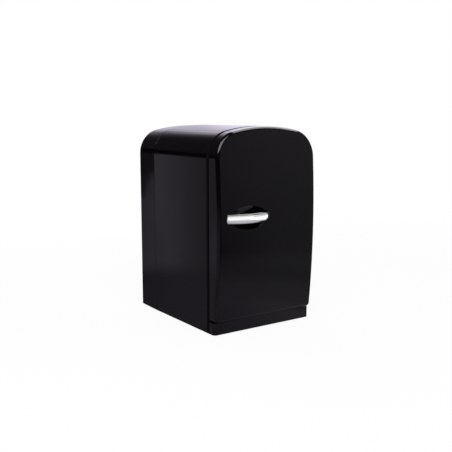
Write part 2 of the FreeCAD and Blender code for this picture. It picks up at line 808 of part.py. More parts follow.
def door_heel():
    """Cutter that rounds the lower back edge of the door, to match the heel of the case."""
    corner = box(-half - 1, half + 1, door_back - heel_radius, door_back + 1,
                 door_bottom - 1, door_bottom + heel_radius)
    return corner.cut(axle(-half - 2, half + 2, door_back - heel_radius, door_bottom + heel_radius,
                           heel_radius))


def door_outer():
    form = door_form(0, door_back)
    form = form.makeFillet(door_back_round, rearmost(form).Edges)
    form = form.cut(dish_body(0))
    dish_middle = at(handle_x, handle_face, handle_level)
    rim = [e for e in frontmost(form).Edges
           if (e.BoundBox.Center - dish_middle).Length < dish_half_height]
    form = form.makeFillet(dish_rim_round, rim)
    room = arch(door_wall, door_bottom + door_wall, panel_front, 1, door_corner - door_wall)
    form = form.cut(door_core(0).fuse(room))
    holes = [rod(handle_x + sign * socket_reach, handle_level, socket_radius, leg_seat - 20.0, leg_seat)
             for sign in (-1, 1)]
    holes += [rod(x, handle_level, screw_radius + slip, leg_seat - 1, leg_seat + 20) for x in leg_places]
    holes += [notch(), door_heel()]
    holes.append(post(hinge_x, hinge_s, bush_radius + slip, door_bottom - 1, door_bottom + bush_length))
    holes.append(post(hinge_x, hinge_s, bush_radius + slip, notch_low - bush_length, notch_low + 1))
    holes += [rod(x, z, screw_radius + slip, panel_front - panel_boss_length + 3.0, panel_front + 1)
              for x, z, way in door_screw_places()]
    return form.cut(join(holes)).removeSplitter()


def door_foam():
    foam = door_core(fit)
    cover = panel_thickness + fit
    pocket = arch(recess_inset - cover, plug_bottom + plug_rim - cover, recess_floor - cover, door_back,
                  recess_corner + cover)
    holes = [rod(x, z, screw_radius + fit, panel_front - panel_boss_length + 3.0, panel_front + 1)
             for x, z, way in door_screw_places()]
    return foam.cut(join([pocket] + holes)).removeSplitter()


def magnet_box(z, grow):
    x = edge_line - half
    reach_x = magnet_width / 2 + grow
    reach_z = magnet_length / 2 + grow
    return box(x - reach_x, x + reach_x, panel_front - grow, panel_back - magnet_skin - slip + grow,
               z - reach_z, z + reach_z)


def door_inner():
    """Moulded panel with a hollow rim that enters the cabinet, and a pocket for small things."""
    border = case_wall + fit
    rim_bottom = plug_bottom + plug_rim
    plug_corner = cavity_corner - plug_clearance
    wall = panel_thickness
    panel = arch(border, door_bottom + border, panel_front, panel_back, door_corner - border)
    plug = arch(plug_inset, plug_bottom, panel_front, plug_reach, plug_corner)
    plug = plug.makeFillet(1.5, rearmost(plug).Edges)
    tray = arch(recess_inset - wall, rim_bottom - wall, recess_floor - wall, plug_reach - wall,
                recess_corner + wall)
    hollow = arch(plug_inset + wall, plug_bottom + wall, panel_front - 1, plug_reach - wall,
                  plug_corner - wall).cut(tray)
    body = panel.fuse(plug).cut(hollow).fuse(tray)
    pocket = arch(recess_inset, rim_bottom, recess_floor, plug_reach + 1, recess_corner)
    inside = half - recess_inset
    ledge = box(-inside - 0.5, inside + 0.5, recess_floor - 0.5, plug_reach - 2.0,
                ledge_level - wall, ledge_level)
    body = body.cut(pocket).fuse(ledge)
    cuts = [notch(), door_heel()]
    cuts += [magnet_box(z, slip) for z in strike_places()]
    cuts += [rod(x, z, screw_radius + slip, panel_front - 1, panel_back + 1)
             for x, z, way in door_screw_places()]
    cuts += [rod(x, z, panel_head + slip, panel_back - panel_head_height, panel_back + 1)
             for x, z, way in door_screw_places()]
    return body.cut(join(cuts)).removeSplitter()


def door_screws():
    screws = []
    for x, z, way in door_screw_places():
        head = rod(x, z, panel_head, panel_back - panel_head_height, panel_back - 0.1)
        shank = rod(x, z, screw_radius, panel_front - panel_boss_length + 4.0, panel_back - 0.1)
        screws.append(head.fuse(shank))
    return group(screws)


def door_gasket():
    """Soft seal with an outer and an inner lip towards the cabinet."""
    inner_corner = cavity_corner - plug_clearance + gasket_outset
    low = gasket_bottom - gasket_width
    stand = door_back + 1.2
    tip = flange_front - fit

    def ring(start, end, s0, s1):
        outer = arch(gasket_outer + start, low + start, s0, s1, inner_corner + gasket_width - start)
        return outer.cut(arch(gasket_outer + end, low + end, s0 - 1, s1 + 1,
                              inner_corner + gasket_width - end))

    return join([ring(0, gasket_width, door_back, stand),
                 ring(0, gasket_lip, stand, tip),
                 ring(gasket_width - gasket_lip, gasket_width, stand, tip)]).removeSplitter()


def door_magnets():
    return group([magnet_box(z, 0) for z in strike_places()])


def door_rails():
    """Bars across the door's pocket, each with a round pad at both ends."""
    inside = half - recess_inset - fit
    rails = []
    for z in (plug_bottom + plug_rim + rail_rise, ledge_level + rail_rise):
        bar = axle(-inside, inside, plug_reach / 2, z, rail_radius)
        pads = [axle(x, x + 1.2, plug_reach / 2, z, rail_radius + 1.4) for x in (-inside, inside - 1.2)]
        rails.append(join([bar] + pads))
    return group(rails)


# ---- Cooling unit -----------------------------------------------------------------------
fin_pitch = (sink_size - fin_thickness) / (fin_count - 1)
clamp_x = fin_pitch * math.ceil((module_size / 2 + screw_radius + fit) / fin_pitch)
clamp_head = (fin_pitch - fin_thickness) / 2 - 0.2
plate_screw_places = [(x, unit_level + z) for x in (-18.0, 18.0) for z in (-13.0, 13.0)]
fan_corners = [(x, unit_level + z) for x in (-fan_pitch / 2, fan_pitch / 2)
               for z in (-fan_pitch / 2, fan_pitch / 2)]


def cold_plate():
    plate = rounded_box(-cold_plate_width / 2, cold_plate_width / 2, cavity_depth - cold_plate_thickness,
                        cavity_depth, unit_level - cold_plate_height / 2,
                        unit_level + cold_plate_height / 2, 5.0)
    return plate.cut(join([rod(x, z, screw_radius + slip, cavity_depth - 5, cavity_depth + 1)
                           for x, z in plate_screw_places]))


def cold_plate_screws():
    seat = cavity_depth - cold_plate_thickness
    return group([screw(x, z, seat, seat + 9.0, head=2.8, height=1.6) for x, z in plate_screw_places])


def cold_block():
    block = box(-block_width / 2, block_width / 2, cavity_depth, foam_back,
                unit_level - block_height / 2, unit_level + block_height / 2)
    holes = [rod(x, z, screw_radius + slip, cavity_depth - 1, cavity_depth + 9.0)
             for x, z in plate_screw_places]
    holes += [rod(x, unit_level, screw_radius + slip, foam_back - 9.0, foam_back + 1)
              for x in (-clamp_x, clamp_x)]
    return block.cut(join(holes))


def peltier_module():
    """Two ceramic plates with the rows of pellets between them."""
    side = module_size / 2
    plates = [box(-side, side, s, s + 0.9, unit_level - side, unit_level + side)
              for s in (foam_back, sink_front - 0.9)]
    pellets = box(-side + 1.0, side - 1.0, foam_back + 0.9, sink_front - 0.9,
                  unit_level - side + 1.0, unit_level + side - 1.0)
    return join(plates + [pellets]).removeSplitter()


def heat_sink():
    side = sink_size / 2
    base = box(-side, side, sink_front, fins_front, unit_level - side, unit_level + side)
    fins = [box(-side + i * fin_pitch, -side + i * fin_pitch + fin_thickness, fins_front, fins_back,
                unit_level - side, unit_level + side) for i in range(fin_count)]
    holes = [rod(x, unit_level, screw_radius + slip, sink_front - 1, fins_front + 1)
             for x in (-clamp_x, clamp_x)]
    return base.fuse(fins).cut(join(holes)).removeSplitter()


def clamp_screws():
    return group([screw(x, unit_level, fins_front, foam_back - 8.0, head=clamp_head, height=2.4)
                  for x in (-clamp_x, clamp_x)])


def board_corners():
    return [(x, z) for x in (6.0 - board_width / 2, board_width / 2 - 6.0)
            for z in (board_low + 6.0, board_low + board_height - 6.0)]


def rear_bulkhead():
    """Panel behind the foam: window for the cooling module, standoffs for the circuit board."""
    low = base_z + base_thickness + fit + lip_wall + 2 * fit
    panel = arch(case_wall + lip_wall + 2 * fit, low, foam_back, bulkhead_back)
    reach_x = clamp_x + 6.0
    reach_z = module_size / 2 + 5.0
    window = box(-reach_x, reach_x, foam_back - 1, bulkhead_back + 1,
                 unit_level - reach_z, unit_level + reach_z)
    panel = panel.cut(join([window] + [cover_boss(x, z, fit) for x, z in cover_screw_places()]))
    posts = [rod(x, z, 3.2, foam_back + 0.5, bulkhead_back + board_standoff) for x, z in board_corners()]
    bores = [rod(x, z, board_screw_radius + slip, foam_back + 1.0, bulkhead_back + board_standoff + 1)
             for x, z in board_corners()]
    return panel.fuse(posts).cut(join(bores)).removeSplitter()


# ---- Fan --------------------------------------------------------------------------------
def fan_frame():
    """Square frame with a round duct, and four struts that carry the bearing."""
    side = fan_size / 2
    frame = rounded_box(-side, side, fan_front, fan_back, unit_level - side, unit_level + side, 4.0)
    duct = rod(0, unit_level, fan_duct_radius, fan_front - 1, fan_back + 1)
    waist = rod(0, unit_level, side * 1.5, fan_front + 4.0, fan_back - 4.0)
    waist = waist.cut(rod(0, unit_level, fan_duct_radius + 1.8, fan_front, fan_back))
    corners = [rod(x, z, 3.6, fan_front, fan_back) for x, z in fan_corners]
    frame = frame.cut(duct.fuse(waist)).fuse([c.cut(duct) for c in corners])
    strut = box(-1.5, 1.5, fan_back - 2.0, fan_back, unit_level + 8.0, unit_level + fan_duct_radius + 0.6)
    struts = []
    for i in range(4):
        turned = strut.copy()
        turned.rotate(at(0, fan_back, unit_level), Vector(0, 1, 0), 45 + 90 * i)
        struts.append(turned)
    base = rod(0, unit_level, fan_hub_radius, fan_back - 2.0, fan_back)
    tube = rod(0, unit_level, 4.0, fan_front + 8.0, fan_back)
    frame = frame.fuse([base, tube] + struts)
    bores = [rod(x, z, screw_radius + slip, fan_front - 1, fan_back + 1) for x, z in fan_corners]
    bores.append(rod(0, unit_level, screw_radius + slip, fan_front, fan_back - 1.0))
    return frame.cut(join(bores)).removeSplitter()


def blade_section(radius, chord, pitch):
    """Cambered outline of a fan blade at one radius."""
    middle = (fan_front + fan_back) / 2 - 1.2
    turn = math.radians(pitch)

    def point(u, v):
        along = u * math.sin(turn) + v * math.cos(turn)
        across = u * math.cos(turn) - v * math.sin(turn)
        return at(radius, middle + along, unit_level + across)

    ends = [point(sign * chord / 2, side * blade_thickness / 4) for sign in (-1, 1) for side in (1, -1)]
    upper = Part.Arc(ends[0], point(0, blade_camber + blade_thickness / 2), ends[2])
    lower = Part.Arc(ends[3], point(0, blade_camber - blade_thickness / 2), ends[1])
    edges = [upper, Part.LineSegment(ends[2], ends[3]), lower, Part.LineSegment(ends[1], ends[0])]
    return Part.Wire([edge.toShape() for edge in edges])


def fan_rotor():
    """Hub cup with twisted blades and the shaft that runs in the frame's bearing."""
    tip = fan_duct_radius - fan_tip_gap
    front = fan_front + 1.5
    back = fan_back - 3.2
    hub = rod(0, unit_level, fan_hub_radius, front, back)
    hub = hub.makeFillet(1.5, [e for e in frontmost(hub).Edges])
    hub = hub.cut(rod(0, unit_level, fan_hub_radius - 2.0, front + 2.0, back + 1))
    root = fan_hub_radius - 1.0
    sections = [blade_section(root, 13.0, 52.0), blade_section((root + tip) / 2, 19.0, 38.0),
                blade_section(tip + 2.0, 24.0, 29.0)]
    blade = Part.makeLoft(sections, True, False)
    blade = blade.common(rod(0, unit_level, tip, fan_front, fan_back))
    blades = []
    for i in range(blade_count):
        turned = blade.copy()
        turned.rotate(at(0, 0, unit_level), Vector(0, 1, 0), 360.0 * i / blade_count)
        blades.append(turned.cut(rod(0, unit_level, fan_hub_radius - 1.5, fan_front, fan_back)))
    shaft = rod(0, unit_level, screw_radius, front + 1.0, fan_back - 1.3)
    return join([hub, shaft] + blades).removeSplitter()


def fan_screws():
    seat = body_depth - screw_head_height - 0.2
    return group([screw(x, z, seat, fan_back - 9.0) for x, z in fan_corners])


# ---- Rear cover -------------------------------------------------------------------------
def cover_form(inset, s0, s1, z_low):
    """The case outline, tapered towards the back."""
    wires = [arch_wire(inset + cover_taper * (s - seam) / cover_depth, s, z_low) for s in (s0, s1)]
    return Part.makeLoft(wires, True, True)


def cover_lip():
    """Lip that enters the shell, cleared round the screw bosses."""
    outer = case_wall + fit
    inner = outer + lip_wall
    low = base_z + base_thickness + fit
    lip = arch(outer, low, seam - lip_reach, seam + 2.0)
    root = arch(cover_wall / 2, base_z + base_thickness / 2, seam + seam_round, seam + 2.6)
    lip = lip.fuse(root).cut(arch(inner, low + lip_wall, seam - lip_reach - 1, seam + 3.0))
    return lip.cut(join([cover_boss(x, z, fit) for x, z in cover_screw_places()]))


def fan_grille():
    """Rings and spokes across the fan's opening."""
    front = body_depth - 2.0
    pitch = grille_radius / (grille_ring_count + 1)
    bars = [rod(0, unit_level, pitch, front, body_depth)]
    for i in range(2, grille_ring_count + 1):
        ring = rod(0, unit_level, i * pitch + grille_ring / 2, front, body_depth)
        bars.append(ring.cut(rod(0, unit_level, i * pitch - grille_ring / 2, front - 1, body_depth + 1)))
    spoke = box(-grille_ring / 2, grille_ring / 2, front, body_depth,
                unit_level + pitch - 1, unit_level + grille_radius + 0.5)
    for i in range(grille_spokes):
        turned = spoke.copy()
        turned.rotate(at(0, front, unit_level), Vector(0, 1, 0), 360.0 * i / grille_spokes)
        bars.append(turned)
    return join(bars)


def vent_slots():
    """Banks of slots above and below the fan."""
    top = unit_level + sink_size / 2 + 9.0
    low = panel_high + 14.0
    rows = [top + i * slot_pitch for i in range(slots_over_fan)]
    rows += [low + i * slot_pitch for i in range(slots_under_fan)]
    column = slot_length / 2 + 6.0
    return [slot(x, z, slot_length, slot_height, cover_inside - 1, body_depth + 1)
            for x in (-column, column) for z in rows]


panel_middle = (panel_low + panel_high) / 2
panel_face = body_depth - panel_recess


def rear_cover():
    cover = cover_form(0, seam, body_depth, base_z)
    cover = cover.makeFillet(cover_round, above_foot(rearmost(cover).Edges, base_z))
    cover = cover.makeFillet(seam_round, above_foot(frontmost(cover).Edges, base_z))
    inner = cover_form(cover_wall, seam - 1, cover_inside, base_z + base_thickness)
    inner = inner.makeFillet(cover_round - cover_wall, above_foot(rearmost(inner).Edges, base_z))
    wall = cover_wall
    backing = rounded_box(-panel_half_width - wall, panel_half_width + wall, panel_face - wall,
                          cover_inside + 0.5, panel_low - wall, panel_high + wall, 6.0)
    adds = [cover_lip(), backing]
    adds += [rod(x, z, sleeve_radius, seam, cover_inside + 0.5) for x, z in cover_screw_places()]
    adds += [rod(x, z, 4.2, fan_back, cover_inside + 0.5) for x, z in fan_corners]
    cover = cover.cut(inner).fuse(adds)
    cuts = [rounded_box(-panel_half_width, panel_half_width, panel_face, body_depth + 1,
                        panel_low, panel_high, 4.0)]
    cuts += [rod(x, z, 4.0, seam + 3.0, body_depth + 1) for x, z in cover_screw_places()]
    cuts += [rod(x, z, screw_radius + slip, seam - 1, seam + 4.0) for x, z in cover_screw_places()]
    cuts += [rod(x, z, screw_head + 0.3, body_depth - screw_head_height - 0.2, body_depth + 1)
             for x, z in fan_corners]
    cuts += [rod(x, z, screw_radius + slip, fan_back - 1, body_depth) for x, z in fan_corners]
    cuts += [post(x, body_depth - foot_back, spigot_radius + 0.1, base_z - 1, base_z + base_thickness + 1)
             for x in (-foot_x, foot_x)]
    cuts += vent_slots()
    cuts += panel_openings()
    cover = cover.cut(join([rod(0, unit_level, grille_radius, cover_inside - 1, body_depth + 1)] + cuts))
    return cover.fuse(fan_grille()).removeSplitter()


def rear_cover_screws():
    return group([screw(x, z, seam + 3.0, seam - 12.0) for x, z in cover_screw_places()])


# ---- Electrics --------------------------------------------------------------------------
rocker_pivot = panel_face - rocker_sink
frame_half_x = rocker_width / 2 + rocker_gap + switch_wall
frame_half_z = rocker_radius + 0.5 + switch_wall
led_places = {"cold_led": (led_x, panel_middle + led_spread), "hot_led": (led_x, panel_middle - led_spread)}


def panel_openings():
    """Openings in the recessed panel for the switch, the inlets and the lamps."""
    front = panel_face - cover_wall - 1
    back = panel_face + 1
    openings = [box(rocker_x - frame_half_x - slip, rocker_x + frame_half_x + slip, front, back,
                    panel_middle - frame_half_z - slip, panel_middle + frame_half_z + slip),
                rounded_box(inlet_x - inlet_half_x - slip, inlet_x + inlet_half_x + slip, front, back,
                            panel_middle - inlet_half_z - slip, panel_middle + inlet_half_z + slip,
                            inlet_corner),
                rod(jack_x, panel_middle, jack_radius + slip, front, back)]
    openings += [rod(x, z, led_radius + slip, front, back) for x, z in led_places.values()]
    return openings


def switch_frame():
    """Snap-in frame of the three-position switch, with its terminals."""
    lip_x = frame_half_x + switch_flange
    lip_z = frame_half_z + switch_flange
    flange = rounded_box(rocker_x - lip_x, rocker_x + lip_x, panel_face, panel_face + flange_rise,
                         panel_middle - lip_z, panel_middle + lip_z, switch_flange)
    floor = panel_face - switch_depth
    body = box(rocker_x - frame_half_x, rocker_x + frame_half_x, floor, panel_face,
               panel_middle - frame_half_z, panel_middle + frame_half_z)
    opening = box(rocker_x - rocker_width / 2 - rocker_gap, rocker_x + rocker_width / 2 + rocker_gap,
                  floor + 1.5, panel_face + flange_rise + 1, panel_middle - rocker_radius - 0.5,
                  panel_middle + rocker_radius + 0.5)
    blades = [box(rocker_x - terminal_reach / 2, rocker_x + terminal_reach / 2, floor - terminal_reach,
                  floor + 0.5, panel_middle + dz - 0.4, panel_middle + dz + 0.4)
              for dz in (-terminal_spacing, 0, terminal_spacing)]
    bearing = axle(rocker_x - frame_half_x - 1, rocker_x + frame_half_x + 1, rocker_pivot,
                   panel_middle, rocker_axle + slip)
    return join([flange, body] + blades).cut(opening.fuse(bearing)).removeSplitter()


def mode_rocker():
    """Rocker with a dished face, on an axle across the frame."""
    x0 = rocker_x - rocker_width / 2
    x1 = rocker_x + rocker_width / 2
    face = body_depth - 0.6
    drum = axle(x0, x1, rocker_pivot, panel_middle, rocker_radius)
    keep = box(x0 - 1, x1 + 1, rocker_pivot - rocker_radius / 2, face,
               panel_middle - rocker_radius, panel_middle + rocker_radius)
    dish = axle(x0 - 1, x1 + 1, face + rocker_dish - 0.9, panel_middle, rocker_dish)
    stub = axle(rocker_x - frame_half_x + 0.6, rocker_x + frame_half_x - 0.6, rocker_pivot,
                panel_middle, rocker_axle)
    return drum.common(keep).cut(dish).fuse(stub).removeSplitter()


def mains_inlet():
    """Two-pin inlet with a figure-of-eight recess."""
    lip_x = inlet_half_x + inlet_flange
    lip_z = inlet_half_z + inlet_flange
    flange = rounded_box(inlet_x - lip_x, inlet_x + lip_x, panel_face, panel_face + flange_rise,
                         panel_middle - lip_z, panel_middle + lip_z, inlet_corner)
    body = rounded_box(inlet_x - inlet_half_x, inlet_x + inlet_half_x, panel_face - inlet_depth, panel_face,
                       panel_middle - inlet_half_z, panel_middle + inlet_half_z, inlet_corner)
    floor = panel_face - inlet_depth * 0.8
    pin_x = (inlet_x - pin_spread, inlet_x + pin_spread)
    recess = join([rod(x, panel_middle, inlet_bore, floor, panel_face + flange_rise + 1) for x in pin_x])
    pins = [rod(x, panel_middle, pin_radius, floor - inlet_depth * 0.4, panel_face - 1.5) for x in pin_x]
    return join([flange, body]).cut(recess).fuse(pins).removeSplitter()


def dc_inlet():
    """Round low-voltage inlet with a centre pin."""
    floor = panel_face - jack_depth
    flange = rod(jack_x, panel_middle, jack_radius + jack_flange, panel_face, panel_face + flange_rise)
    body = rod(jack_x, panel_middle, jack_radius, floor, panel_face)
    bore = rod(jack_x, panel_middle, jack_bore, floor + 3.0, panel_face + flange_rise + 1)
    pin = rod(jack_x, panel_middle, jack_pin, floor + 2.0, panel_face - 1.0)
    return flange.fuse(body).cut(bore).fuse(pin).removeSplitter()


def indicator(place):
    """Lamp with a domed lens and a collar behind the panel."""
    x, z = place
    stem = rod(x, z, led_radius, panel_face - led_length, panel_face + 0.4)
    base = rod(x, z, led_radius + 0.5, panel_face - cover_wall - 1.0, panel_face - cover_wall)
    dome = Part.makeSphere(led_radius, at(x, panel_face + 0.4, z))
    return join([stem, base, dome]).removeSplitter()


board_front = bulkhead_back + board_standoff
board_back = board_front + board_thickness


def power_board():
    board = box(-board_width / 2, board_width / 2, board_front, board_back,
                board_low, board_low + board_height)
    return board.cut(join([rod(x, z, board_screw_radius + slip, board_front - 1, board_back + 1)
                           for x, z in board_corners()]))


def board_screws():
    return group([screw(x, z, board_back, board_front - 4.5, board_screw_radius, head=2.4, height=1.5)
                  for x, z in board_corners()])


def transformer():
    """Laminated core round a wound bobbin."""
    x = -board_width * 0.22
    z = board_low + board_height / 2
    core_back = board_back + core_lift + core_depth
    core = box(x - core_width / 2, x + core_width / 2, board_back + core_lift, core_back,
               z - core_height / 2, z + core_height / 2)
    reach_x = window_width / 2
    reach_z = bobbin_height / 2 + 0.5
    windows = [box(middle - reach_x, middle + reach_x, board_back, core_back + 1, z - reach_z, z + reach_z)
               for middle in (x - window_spread, x + window_spread)]
    bobbin = rounded_box(x - bobbin_width / 2, x + bobbin_width / 2, board_back, board_back + bobbin_depth,
                         z - bobbin_height / 2, z + bobbin_height / 2, 2.0)
    return core.cut(join(windows)).fuse(bobbin).removeSplitter()


def capacitors():
    z = board_low + board_height / 2
    cans = []
    for (x, dz), (radius, height) in zip(can_places, can_sizes):
        can = rod(x, z + dz, radius, board_back, board_back + height)
        cans.append(can.makeFillet(0.8, rearmost(can).Edges))
    return group(cans)


def rectifier_heatsink():
    """Folded plate with upstanding fins."""
    left = board_width * 0.34 - rectifier_width / 2
    middle = board_low + board_height * 0.34
    low = middle - rectifier_height / 2
    high = middle + rectifier_height / 2
    pitch = (rectifier_width - rectifier_fin) / (rectifier_fin_count - 1)
    foot = box(left, left + rectifier_width, board_back, board_back + rectifier_fin, low, high)
    fins = [box(left + i * pitch, left + i * pitch + rectifier_fin, board_back,
                board_back + rectifier_fin_depth, low, high) for i in range(rectifier_fin_count)]
    return join([foot] + fins).removeSplitter()


# ---- All pieces -------------------------------------------------------------------------
bush_top = door_bottom + bush_length
pieces = {
    "case_shell": case_shell,
    "base_plate": base_plate,
    "base_screws": lambda: group([base_screw(x, s) for x, s in base_screw_places()]),
    "foot_front_left": lambda: foot(-foot_x, foot_front, base_thickness),
    "foot_front_right": lambda: foot(foot_x, foot_front, base_thickness),
    "foot_back_left": lambda: foot(-foot_x, body_depth - foot_back, base_thickness),
    "foot_back_right": lambda: foot(foot_x, body_depth - foot_back, base_thickness),
    "inner_liner": inner_liner,
    "cabinet_foam": cabinet_foam,
    "shelf": shelf,
    "strike_plates": strike_plates,
    "hinge_bracket": hinge_bracket,
    "hinge_pin_upper": upper_pin,
    "hinge_pin_lower": lower_pin,
    "hinge_bush_lower": lambda: bush(door_bottom, bush_top, True),
    "hinge_bush_upper": lambda: bush(notch_low - bush_length, notch_low, False),
    "door_outer": door_outer,
    "door_foam": door_foam,
    "door_inner": door_inner,
    "door_screws": door_screws,
    "door_gasket": door_gasket,
    "door_magnets": door_magnets,
    "door_rails": door_rails,
    "door_handle_bar": handle_bar,
    "handle_screws": handle_screws,
    "cold_plate": cold_plate,
    "cold_plate_screws": cold_plate_screws,
    "cold_block": cold_block,
    "peltier_module": peltier_module,
    "heat_sink": heat_sink,
    "clamp_screws": clamp_screws,
    "rear_bulkhead": rear_bulkhead,
    "fan_frame": fan_frame,
    "fan_rotor": fan_rotor,
    "fan_screws": fan_screws,
    "rear_cover": rear_cover,
    "rear_cover_screws": rear_cover_screws,
    "power_board": power_board,
    "board_screws": board_screws,
    "transformer": transformer,
    "capacitors": capacitors,
    "rectifier_heatsink": rectifier_heatsink,
    "mains_inlet": mains_inlet,
    "dc_inlet": dc_inlet,
    "switch_frame": switch_frame,
    "mode_rocker": mode_rocker,
    "cold_led": lambda: indicator(led_places["cold_led"]),
    "hot_led": lambda: indicator(led_places["hot_led"]),
}

for name, make in pieces.items():
    save(name, make())
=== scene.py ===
"""Finishes and studio for the arched-top mini fridge, laid out as an add-on."""

import json
import math

import bpy
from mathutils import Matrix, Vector


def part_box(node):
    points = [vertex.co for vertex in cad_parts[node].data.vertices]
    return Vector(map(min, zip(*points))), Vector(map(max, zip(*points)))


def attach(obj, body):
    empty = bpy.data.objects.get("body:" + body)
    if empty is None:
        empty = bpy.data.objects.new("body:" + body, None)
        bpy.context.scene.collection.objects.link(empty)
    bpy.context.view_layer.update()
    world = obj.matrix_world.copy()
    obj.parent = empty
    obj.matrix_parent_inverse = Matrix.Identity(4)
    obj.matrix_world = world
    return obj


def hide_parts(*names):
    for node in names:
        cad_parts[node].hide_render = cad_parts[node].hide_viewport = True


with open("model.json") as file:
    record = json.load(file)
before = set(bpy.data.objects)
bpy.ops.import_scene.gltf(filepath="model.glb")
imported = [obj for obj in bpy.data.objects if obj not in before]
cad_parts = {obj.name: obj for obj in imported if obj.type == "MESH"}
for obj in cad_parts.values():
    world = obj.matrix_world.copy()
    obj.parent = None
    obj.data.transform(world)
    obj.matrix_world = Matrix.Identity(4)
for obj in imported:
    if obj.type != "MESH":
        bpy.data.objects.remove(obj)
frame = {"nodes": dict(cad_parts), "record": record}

bl_info = {
    "name": "Arched Mini Fridge",
    "version": (1, 0, 0),
    "blender": (4, 5, 0),
    "location": "3D View > Sidebar > Mini Fridge",
    "description": "Finishes, fine pieces and studio for an arched-top mini fridge",
    "category": "Object",
}

nodes = frame["nodes"]
slot_of = {part["node"]: part["material_slot"] for part in frame["record"]["subparts"]}

# Places and lengths in metres: x to the fridge's right, y to its back, z up.
case_half = 0.095                         # half the width of the case
cover_middle = 0.105                      # y of the middle of the rear cover
seam_shadow_front, seam_shadow_back = -0.0937, -0.0856  # y of the band of painted shadow where the door meets the case
seam_shadow_soft = 0.0006                        # how softly that band begins and ends
fridge_middle = (0.0, -0.092, 0.17)       # middle of the door, from which the room's angles are taken
camera_start = (-0.67188, -0.97143, 0.33620)
# Where the camera seems to stand when the side of the case mirrors it.
side_eye = (camera_start[0] + 2 * case_half, camera_start[1], camera_start[2])
room_share = 0.45                         # radius of the mirrored room, as a share of the floor's side
table_height = 0.0004                     # how far the mirrored table lies above the floor
white = (1.0, 1.0, 1.0, 1.0)


# ---- Shader building --------------------------------------------------------------------
class Value:
    """A node socket that takes part in Python arithmetic. Each operator adds a Math node."""

    def __init__(self, finish, socket):
        self.finish = finish
        self.socket = socket

    def _math(self, operation, *values, clamp=False):
        settings = {"operation": operation, "use_clamp": clamp}
        return self.finish.node("ShaderNodeMath", settings, dict(enumerate(values)))

    def __add__(self, other):
        return self._math("ADD", self, other)

    def __sub__(self, other):
        return self._math("SUBTRACT", self, other)

    def __rsub__(self, other):
        return self._math("SUBTRACT", other, self)

    def __mul__(self, other):
        return self._math("MULTIPLY", self, other)

    def __pow__(self, other):
        return self._math("POWER", self, other)

    __radd__ = __add__
    __rmul__ = __mul__

    def clamped(self):
        return self._math("ADD", self, 0.0, clamp=True)

    def size(self):
        """The value without its sign."""
        return self._math("ABSOLUTE", self)

    def degrees(self, ahead):
        """Angle of the vector whose two parts are ahead and this value."""
        return self._math("ARCTAN2", self, ahead) * math.degrees(1.0)

    def rise(self, low, high):
        """0 below low and 1 above high, with a soft step between them."""
        inputs = {"Value": self, "From Min": low, "From Max": high}
        return self.finish.node("ShaderNodeMapRange", {"interpolation_type": "SMOOTHSTEP"}, inputs)

    def between(self, low, high, soft):
        """1 between low and high and 0 elsewhere, with steps soft wide."""
        half = soft / 2
        return self.rise(low - half, low + half) * (1 - self.rise(high - half, high + half))

    def along(self, low, high, stops):
        """The number that the stops give, read from low to high."""
        ramp = [((place - low) / (high - low), (value, value, value)) for place, value in stops]
        inputs = {"Value": self, "From Min": low, "From Max": high}
        share = self.finish.node("ShaderNodeMapRange", inputs=inputs)
        return self.finish.node("ShaderNodeValToRGB", {"stops": ramp}, {"Fac": share})


class Finish:
    """A material in the making, with one method that adds any node."""

    def __init__(self, tree):
        self.tree = tree
        tree.nodes.clear()

    def node(self, kind, settings=None, inputs=None, output=0):
        """Adds a node, sets it, and fills its inputs. Gives one of its outputs."""
        added = self.tree.nodes.new(kind)
        for name, value in (settings or {}).items():
            if name == "stops":
                self._set_stops(added.color_ramp, value)
            else:
                setattr(added, name, value)
        for name, value in (inputs or {}).items():
            if isinstance(value, Value):
                self.tree.links.new(value.socket, added.inputs[name])
            else:
                added.inputs[name].default_value = value
        return Value(self, added.outputs[output]) if added.outputs else None

    def _set_stops(self, ramp, stops):
        while len(ramp.elements) > len(stops):
            ramp.elements.remove(ramp.elements[-1])
        for index, (place, colour) in enumerate(stops):
            if index >= len(ramp.elements):
                ramp.elements.new(place)
            ramp.elements[index].position = place
            ramp.elements[index].color = (*colour, 1.0)

    def place(self, scale):
        """Object coordinates, stretched by scale."""
        coordinates = self.node("ShaderNodeTexCoord", output="Object")
        return self.node("ShaderNodeMapping", inputs={"Vector": coordinates, "Scale": scale})

    def parts(self):
        """The three numbers of the object coordinates."""
        coordinates = self.node("ShaderNodeTexCoord", output="Object")
        split = self.node("ShaderNodeSeparateXYZ", inputs={"Vector": coordinates}).socket.node
        return [Value(self, socket) for socket in split.outputs]

    def noise(self, scale, detail=3.0, stretch=(1.0, 1.0, 1.0)):
        inputs = {"Vector": self.place(stretch), "Scale": scale, "Detail": detail}
        return self.node("ShaderNodeTexNoise", {"noise_dimensions": "3D"}, inputs, "Fac")

    def cells(self, scale, feature="F1"):
        inputs = {"Vector": self.place((1.0, 1.0, 1.0)), "Scale": scale}
        return self.node("ShaderNodeTexVoronoi", {"feature": feature}, inputs, "Distance")

    def mix(self, factor, first, second):
        """Colour between first and second."""
        inputs = {0: factor, 6: self.colour(first), 7: self.colour(second)}
        return self.node("ShaderNodeMix", {"data_type": "RGBA"}, inputs, 2)

    def colour(self, value):
        return value if isinstance(value, Value) else (*value, 1.0)

    def bump(self, height, depth, strength):
        inputs = {"Height": height, "Distance": depth, "Strength": strength}
        return self.node("ShaderNodeBump", inputs=inputs)

    def surface(self, inputs):
        """The Principled shader with these inputs, as the material's surface."""
        self.output(self.node("ShaderNodeBsdfPrincipled", inputs=inputs))

    def output(self, shader):
        self.node("ShaderNodeOutputMaterial", inputs={"Surface": shader})


def new_finish(name):
    material = bpy.data.materials.new(name)
    material.use_nodes = True
    return material, Finish(material.node_tree)


